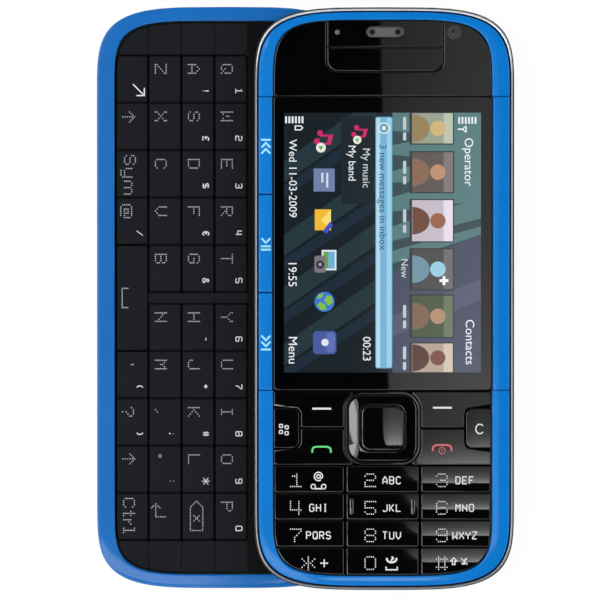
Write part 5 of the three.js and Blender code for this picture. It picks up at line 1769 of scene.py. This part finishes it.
class PHONE_OT_pad_keys(bpy.types.Operator):
    """Number keys, soft keys, direction ring and select key, with their printed marks"""

    bl_idname = "phone.pad_keys"
    bl_label = "Number pad"

    def execute(self, context):
        for name in NUMBER_KEYS:
            self.number_key(name)
        self.tab_keys()
        for name in ("soft_key_left", "soft_key_right", "call_key", "end_key"):
            self.corner_key(name)
        self.direction_ring()
        self.select_key()
        return {"FINISHED"}

    def key(self, name, shape, centre, height):
        """A polished key from the CAD node's foot up to height(x, y)."""
        part = cap(shape, centre, node_box(name)[0][2], height, mm(sizes().key_rounding))
        add_piece(name + "_cap", name, [part], "pad", [name])

    def number_key(self, name):
        """A number key, whose edges line up with the keys beside it."""
        top = node_box("key_1")[1][2]
        row, column, large, small = NUMBER_KEYS[name]
        back = node_box("key_0" if row == 3 else f"key_{3 * row + 2}")[1][1]
        front = node_box(f"key_{3 * row + 1}")[0][1] if row < 3 else back - LAST_ROW_DEPTH
        model = node_box(f"key_{4 + column}")
        left, right = model[0][0] + NUMBER_SIDE, model[1][0] - NUMBER_SIDE
        shape = rounded_box(left, right, front - 0.05, back + 0.05, NUMBER_CORNER)
        shape = meet(shape, opening(RING_INSET, SEAM + 0.05, TRAVEL), NUMBER_CORNER)
        centre = (left + right) / 2, (back + max(front, back - 4.9)) / 2
        half = (back - front) / 2
        crown = mm(sizes().key_crown)
        lean = NUMBER_LEAN if column == 1 else 0.0

        def height(x, y):
            """Falls by crown * (distance / half)^2 along y, and leans evenly along x."""
            return top + lean * (x - right) - crown * ((y - centre[1]) / half) ** 2

        self.key(name, shape, centre, height)
        if name == "key_5":
            self.touch_ridges(top)
        self.number_marks(name, row, column, large, small, height)

    def touch_ridges(self, top):
        """Two upright ridges that mark the middle key."""
        y, half = middle_of("key_5")[1], (0.48, 1.6)
        parts = []
        for x in (TRAVEL - 6.27, TRAVEL + 5.52):
            dome = crowned(top + 0.22, (0.2, 0.12), (x, y), half)
            parts.append(cap(box_about((x, y), half, 0.45), (x, y), top - 0.4, dome, 0.14, 72))
        add_piece("key_5_ridges", "key_5", parts, "pad")

    def number_marks(self, name, row, column, large, small, height):
        """Dotted main character with its letters or signs."""
        s = sizes()
        y = NUMBER_ROWS[row]
        places = STAR_PLACES if name == "key_star" else NUMBER_COLUMNS[column]
        first, second = (TRAVEL + x for x in places)
        columns = 7 if large == "*" else 6
        spots = matrix_spots(large, (first, y), (mm(s.digit_pitch),) * 2, DIGIT_DOTS, columns)
        parts = dots(spots, mm(s.dot_radius), height)
        if small:
            advance = 6.45 if len(small) < 4 else 6.3
            lines = lettered(small, (second, y), 1.35, 0.89, advance=advance)
            parts += ribbons(lines, mm(s.ink_width) * 0.87, height)
        if name == "key_1":
            parts += self.message_marks((second, y), height)
        if name == "key_hash":
            arrow = "0,0.68 0.56,0.1 0.25,0.1 0.25,-0.62 -0.25,-0.62 -0.25,0.1 -0.56,0.1"
            line = placed(arrow, (TRAVEL + 13.39, y + 0.35))[0]
            parts.append(ribbon(line, 0.2, height, closed=True))
        for strokes, across, lift, wide in NUMBER_SIGNS.get(name, ()):
            parts += ribbons(placed(strokes, (TRAVEL + across, y + lift)), wide, height)
        add_piece(name + "_print", name, parts, "ink")

    def message_marks(self, place, height):
        """The sign for mail addresses above a tape, the sign for spoken messages."""
        x, y = place
        above, foot = (x, y + 0.73), y - 1.62
        tail = placed("0.36,0.34 0.36,-0.2 0.5,-0.36 0.68,-0.3 0.8,0", above)[0][:-1]
        curl = np.vstack([tail, arc(above, 0.8, 0, 305)])
        reels = [ribbon(arc((c, y - 1.21), 0.43, 0, 350), 0.22, height) for c in (x - 1, x + 1)]
        return [
            ribbon(curl, 0.22, height), ribbon(arc(above, 0.34, 0, 345), 0.2, height), *reels,
            *ribbons([np.array([[x - 1, foot], [x + 1, foot]])], 0.26, height),
        ]

    def tab_space(self, side, clearance):
        """Rounded rectangle of a tab key, grown by a clearance and running out under the ring."""
        name = "menu_key" if side < 0 else "clear_key"
        low, high = node_box(name)
        y, reach = middle_of(name)[1], TAB_SIZE[1] / 2 + clearance
        inner = (high if side < 0 else low)[0] - side * (SEAM + clearance)
        left, right = sorted((inner, inner + side * TAB_RUN))
        return rounded_box(left, right, y - reach, y + reach, TAB_CORNER + clearance)

    def tab_keys(self):
        """Menu and clear keys at the sides, which fall towards their lower ends."""
        for side, name in ((-1, "menu_key"), (1, "clear_key")):
            top = node_box(name)[1][2]
            ends = box_over(name, 0, 3, 0.1)
            shape = meet(self.tab_space(side, -SEAM), ends, 0.15)
            centre = middle_of(name)
            crest = centre[0], centre[1] - 2.7
            height = crowned(top, (0.01, 0.088), crest, (2.5, 3.95))
            self.key(name, shape, centre, height)
            if side < 0:
                x, y = from_photo(283.8, 429.3)
                square = (
                    "-0.3,-0.22 -0.22,-0.3 0.22,-0.3 0.3,-0.22 0.3,0.22 0.22,0.3 -0.22,0.3"
                    " -0.3,0.22"
                )
                marks = [
                    ribbon(placed(square, (x + dx, y + dy))[0], 0.2, height, closed=True)
                    for dx, dy in ((-0.55, 0.7), (0.55, 0.45), (-0.55, -0.45), (0.55, -0.7))
                ]
            else:
                letter = arc((0, 0), 1.0, 42, 318, 28) * (0.79, 0.9) + from_photo(479.3, 428.65)
                marks = [ribbon(letter, 0.22, height)]
            add_piece(name + "_print", name, marks, "ink")

    def corner_key(self, name):
        """A key beside the direction pad, cut out round the pad and the tab key."""
        side = -1 if name in ("soft_key_left", "call_key") else 1
        low, high = node_box(name)
        left, right = (low[0], high[0] + 1.6) if side < 0 else (low[0] - 1.6, high[0])
        shape = rounded_box(left, right, low[1], high[1], 0.25)
        shape = without(shape, self.tab_space(side, SEAM), 0.12)
        shape = without(shape, self.pad_space(0.12), 0.12)
        inner = high[0] if side < 0 else low[0]
        tab = node_box("menu_key" if side < 0 else "clear_key")
        tab_edge = tab[1][0] if side < 0 else tab[0][0]
        centre = ((inner + tab_edge) / 2, (low[1] + high[1]) / 2)
        if name.startswith("soft"):
            fall = mm(sizes().soft_key_fall) / (high[1] - low[1])

            def height(x, y):
                """Falls evenly towards the window."""
                return high[2] - fall * (y - low[1])
        else:
            crest = centre[0], low[1] + 1.6
            height = crowned(high[2], (0.01, 0.046), crest, (6.0, 3.5))
        self.key(name, shape, centre, height)
        self.corner_marks(name, height)

    def corner_marks(self, name, height):
        """A bar on a soft key, or a handset on the call and end keys."""
        places = {
            "soft_key_left": (321.6, 408.4), "soft_key_right": (441.8, 407.5),
            "call_key": (321.4, 449.3), "end_key": (441.6, 447.6),
        }
        x, y = from_photo(*places[name])
        if name.startswith("soft"):
            parts = ribbons(placed("-1.8,0 1.8,0", (x, y)), SIGN_WIDTH, height)
            add_piece(name + "_print", name, parts, "ink")
            return
        half = "-1.78,-0.6 -1.78,-0.1 -1.68,0.25 -1.35,0.48 -0.95,0.56"
        handset = half + " 0.95,0.56 1.35,0.48 1.68,0.25 1.78,-0.1 1.78,-0.6"
        parts = ribbons(placed(handset, (x, y)), SIGN_WIDTH, height)
        if name == "end_key":
            parts.append(ribbon(arc((x, y - 0.5), 0.6, 0, 350, 28), 0.14, height))
            parts += ribbons([np.array([[x, y - 0.2], [x, y - 0.62]])], 0.13, height)
        add_piece(name + "_print", name, parts, "call" if name == "call_key" else "end")

    def pad_space(self, grown):
        """Rounded square that the direction ring's collar fills, grown by a length."""
        low, high = node_box("dpad_ring")
        return rounded_box(
            low[0] - 0.3 - grown, high[0] + 0.3 + grown, low[1] - 0.05 - grown,
            high[1] + 0.02 + grown, 3.7 + grown,
        )

    def direction_ring(self):
        """Fixed collar and tilting ring, whose top falls outwards by fall * (1 - share)^1.3."""
        low, high = node_box("dpad_ring")
        centre = middle_of("dpad_ring")
        collar = holed_plate(
            self.pad_space(0), self.pad_space(-0.52), centre, low[2], high[2] - 0.35, 0.14, 200
        )
        add_piece("pad_collar", "display_half", [collar], "pad")
        outer = self.pad_space(-0.64)
        hole = box_over("select_key", 0.25, 0.25, 1.9)
        angles = even_angles(outer, centre, 240)
        near = reach_of(hole, centre, angles)
        far = reach_of(outer, centre, angles)
        top = high[2] - 0.1
        fall = mm(sizes().ring_fall)
        edge = top - fall
        turn, share = np.linspace(0, 1.3, 5), np.linspace(0.08, 0.95, 14)
        across = np.concatenate([[0], 0.05 * (1 - np.cos(turn)), share, [0.98, 1, 1]])[:, None]
        rise = np.concatenate([
            [low[2]], edge - 0.14 * (1 - np.sin(turn)), top - fall * (1 - share) ** 1.3,
            [top - 0.03, top - 0.1, low[2]],
        ])[:, None]
        away = (1 - across) * far + across * near
        part = loft(np.stack([*on_rays(centre, angles, away), rise + 0 * away], -1), closed=True)
        add_piece("direction_ring", "dpad_ring", [part], "pad", ["dpad_ring"])

    def select_key(self):
        """Key in the middle of the pad, slightly crowned."""
        low, high = node_box("select_key")
        centre = middle_of("select_key")
        crown = mm(sizes().select_crown)
        height = crowned(high[2] - 0.02, (crown, crown), centre, (high[:2] - low[:2]) / 2)
        part = cap(box_over("select_key", 0, 0, 1.5), centre, low[2], height, 0.34)
        add_piece("select_key_cap", "select_key", [part], "pad", ["select_key"])


class PHONE_PT_panel(bpy.types.Panel):
    """Sizes, colours and build steps of the phone"""

    bl_idname = "PHONE_PT_panel"
    bl_label = "Side Slider Phone"
    bl_space_type = "VIEW_3D"
    bl_region_type = "UI"
    bl_category = "Phone"

    def draw(self, context):
        layout = self.layout
        for group in (context.scene.phone_sizes, context.scene.phone_colours):
            box = layout.box()
            for name in group.__annotations__:
                box.prop(group, name)
        for operator in OPERATORS:
            layout.operator(operator.bl_idname)


OPERATORS = (
    PHONE_OT_studio, PHONE_OT_shell, PHONE_OT_keyboard_rim, PHONE_OT_letter_keys, PHONE_OT_slide,
    PHONE_OT_display_shell, PHONE_OT_display, PHONE_OT_pad_keys,
)
CLASSES = (PhoneSizes, PhoneColours, *OPERATORS, PHONE_PT_panel)


def register():
    for cls in CLASSES:
        bpy.utils.register_class(cls)
    bpy.types.Scene.phone_sizes = PointerProperty(type=PhoneSizes)
    bpy.types.Scene.phone_colours = PointerProperty(type=PhoneColours)


def unregister():
    del bpy.types.Scene.phone_colours
    del bpy.types.Scene.phone_sizes
    for cls in reversed(CLASSES):
        bpy.utils.unregister_class(cls)


def main():
    register()
    make_materials()
    bpy.ops.phone.studio()
    bpy.ops.phone.shell()
    bpy.ops.phone.keyboard_rim()
    bpy.ops.phone.letter_keys()
    bpy.ops.phone.slide()
    bpy.ops.phone.display_shell()
    bpy.ops.phone.display()
    bpy.ops.phone.pad_keys()
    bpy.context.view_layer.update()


if __name__ == "__main__":
    main()
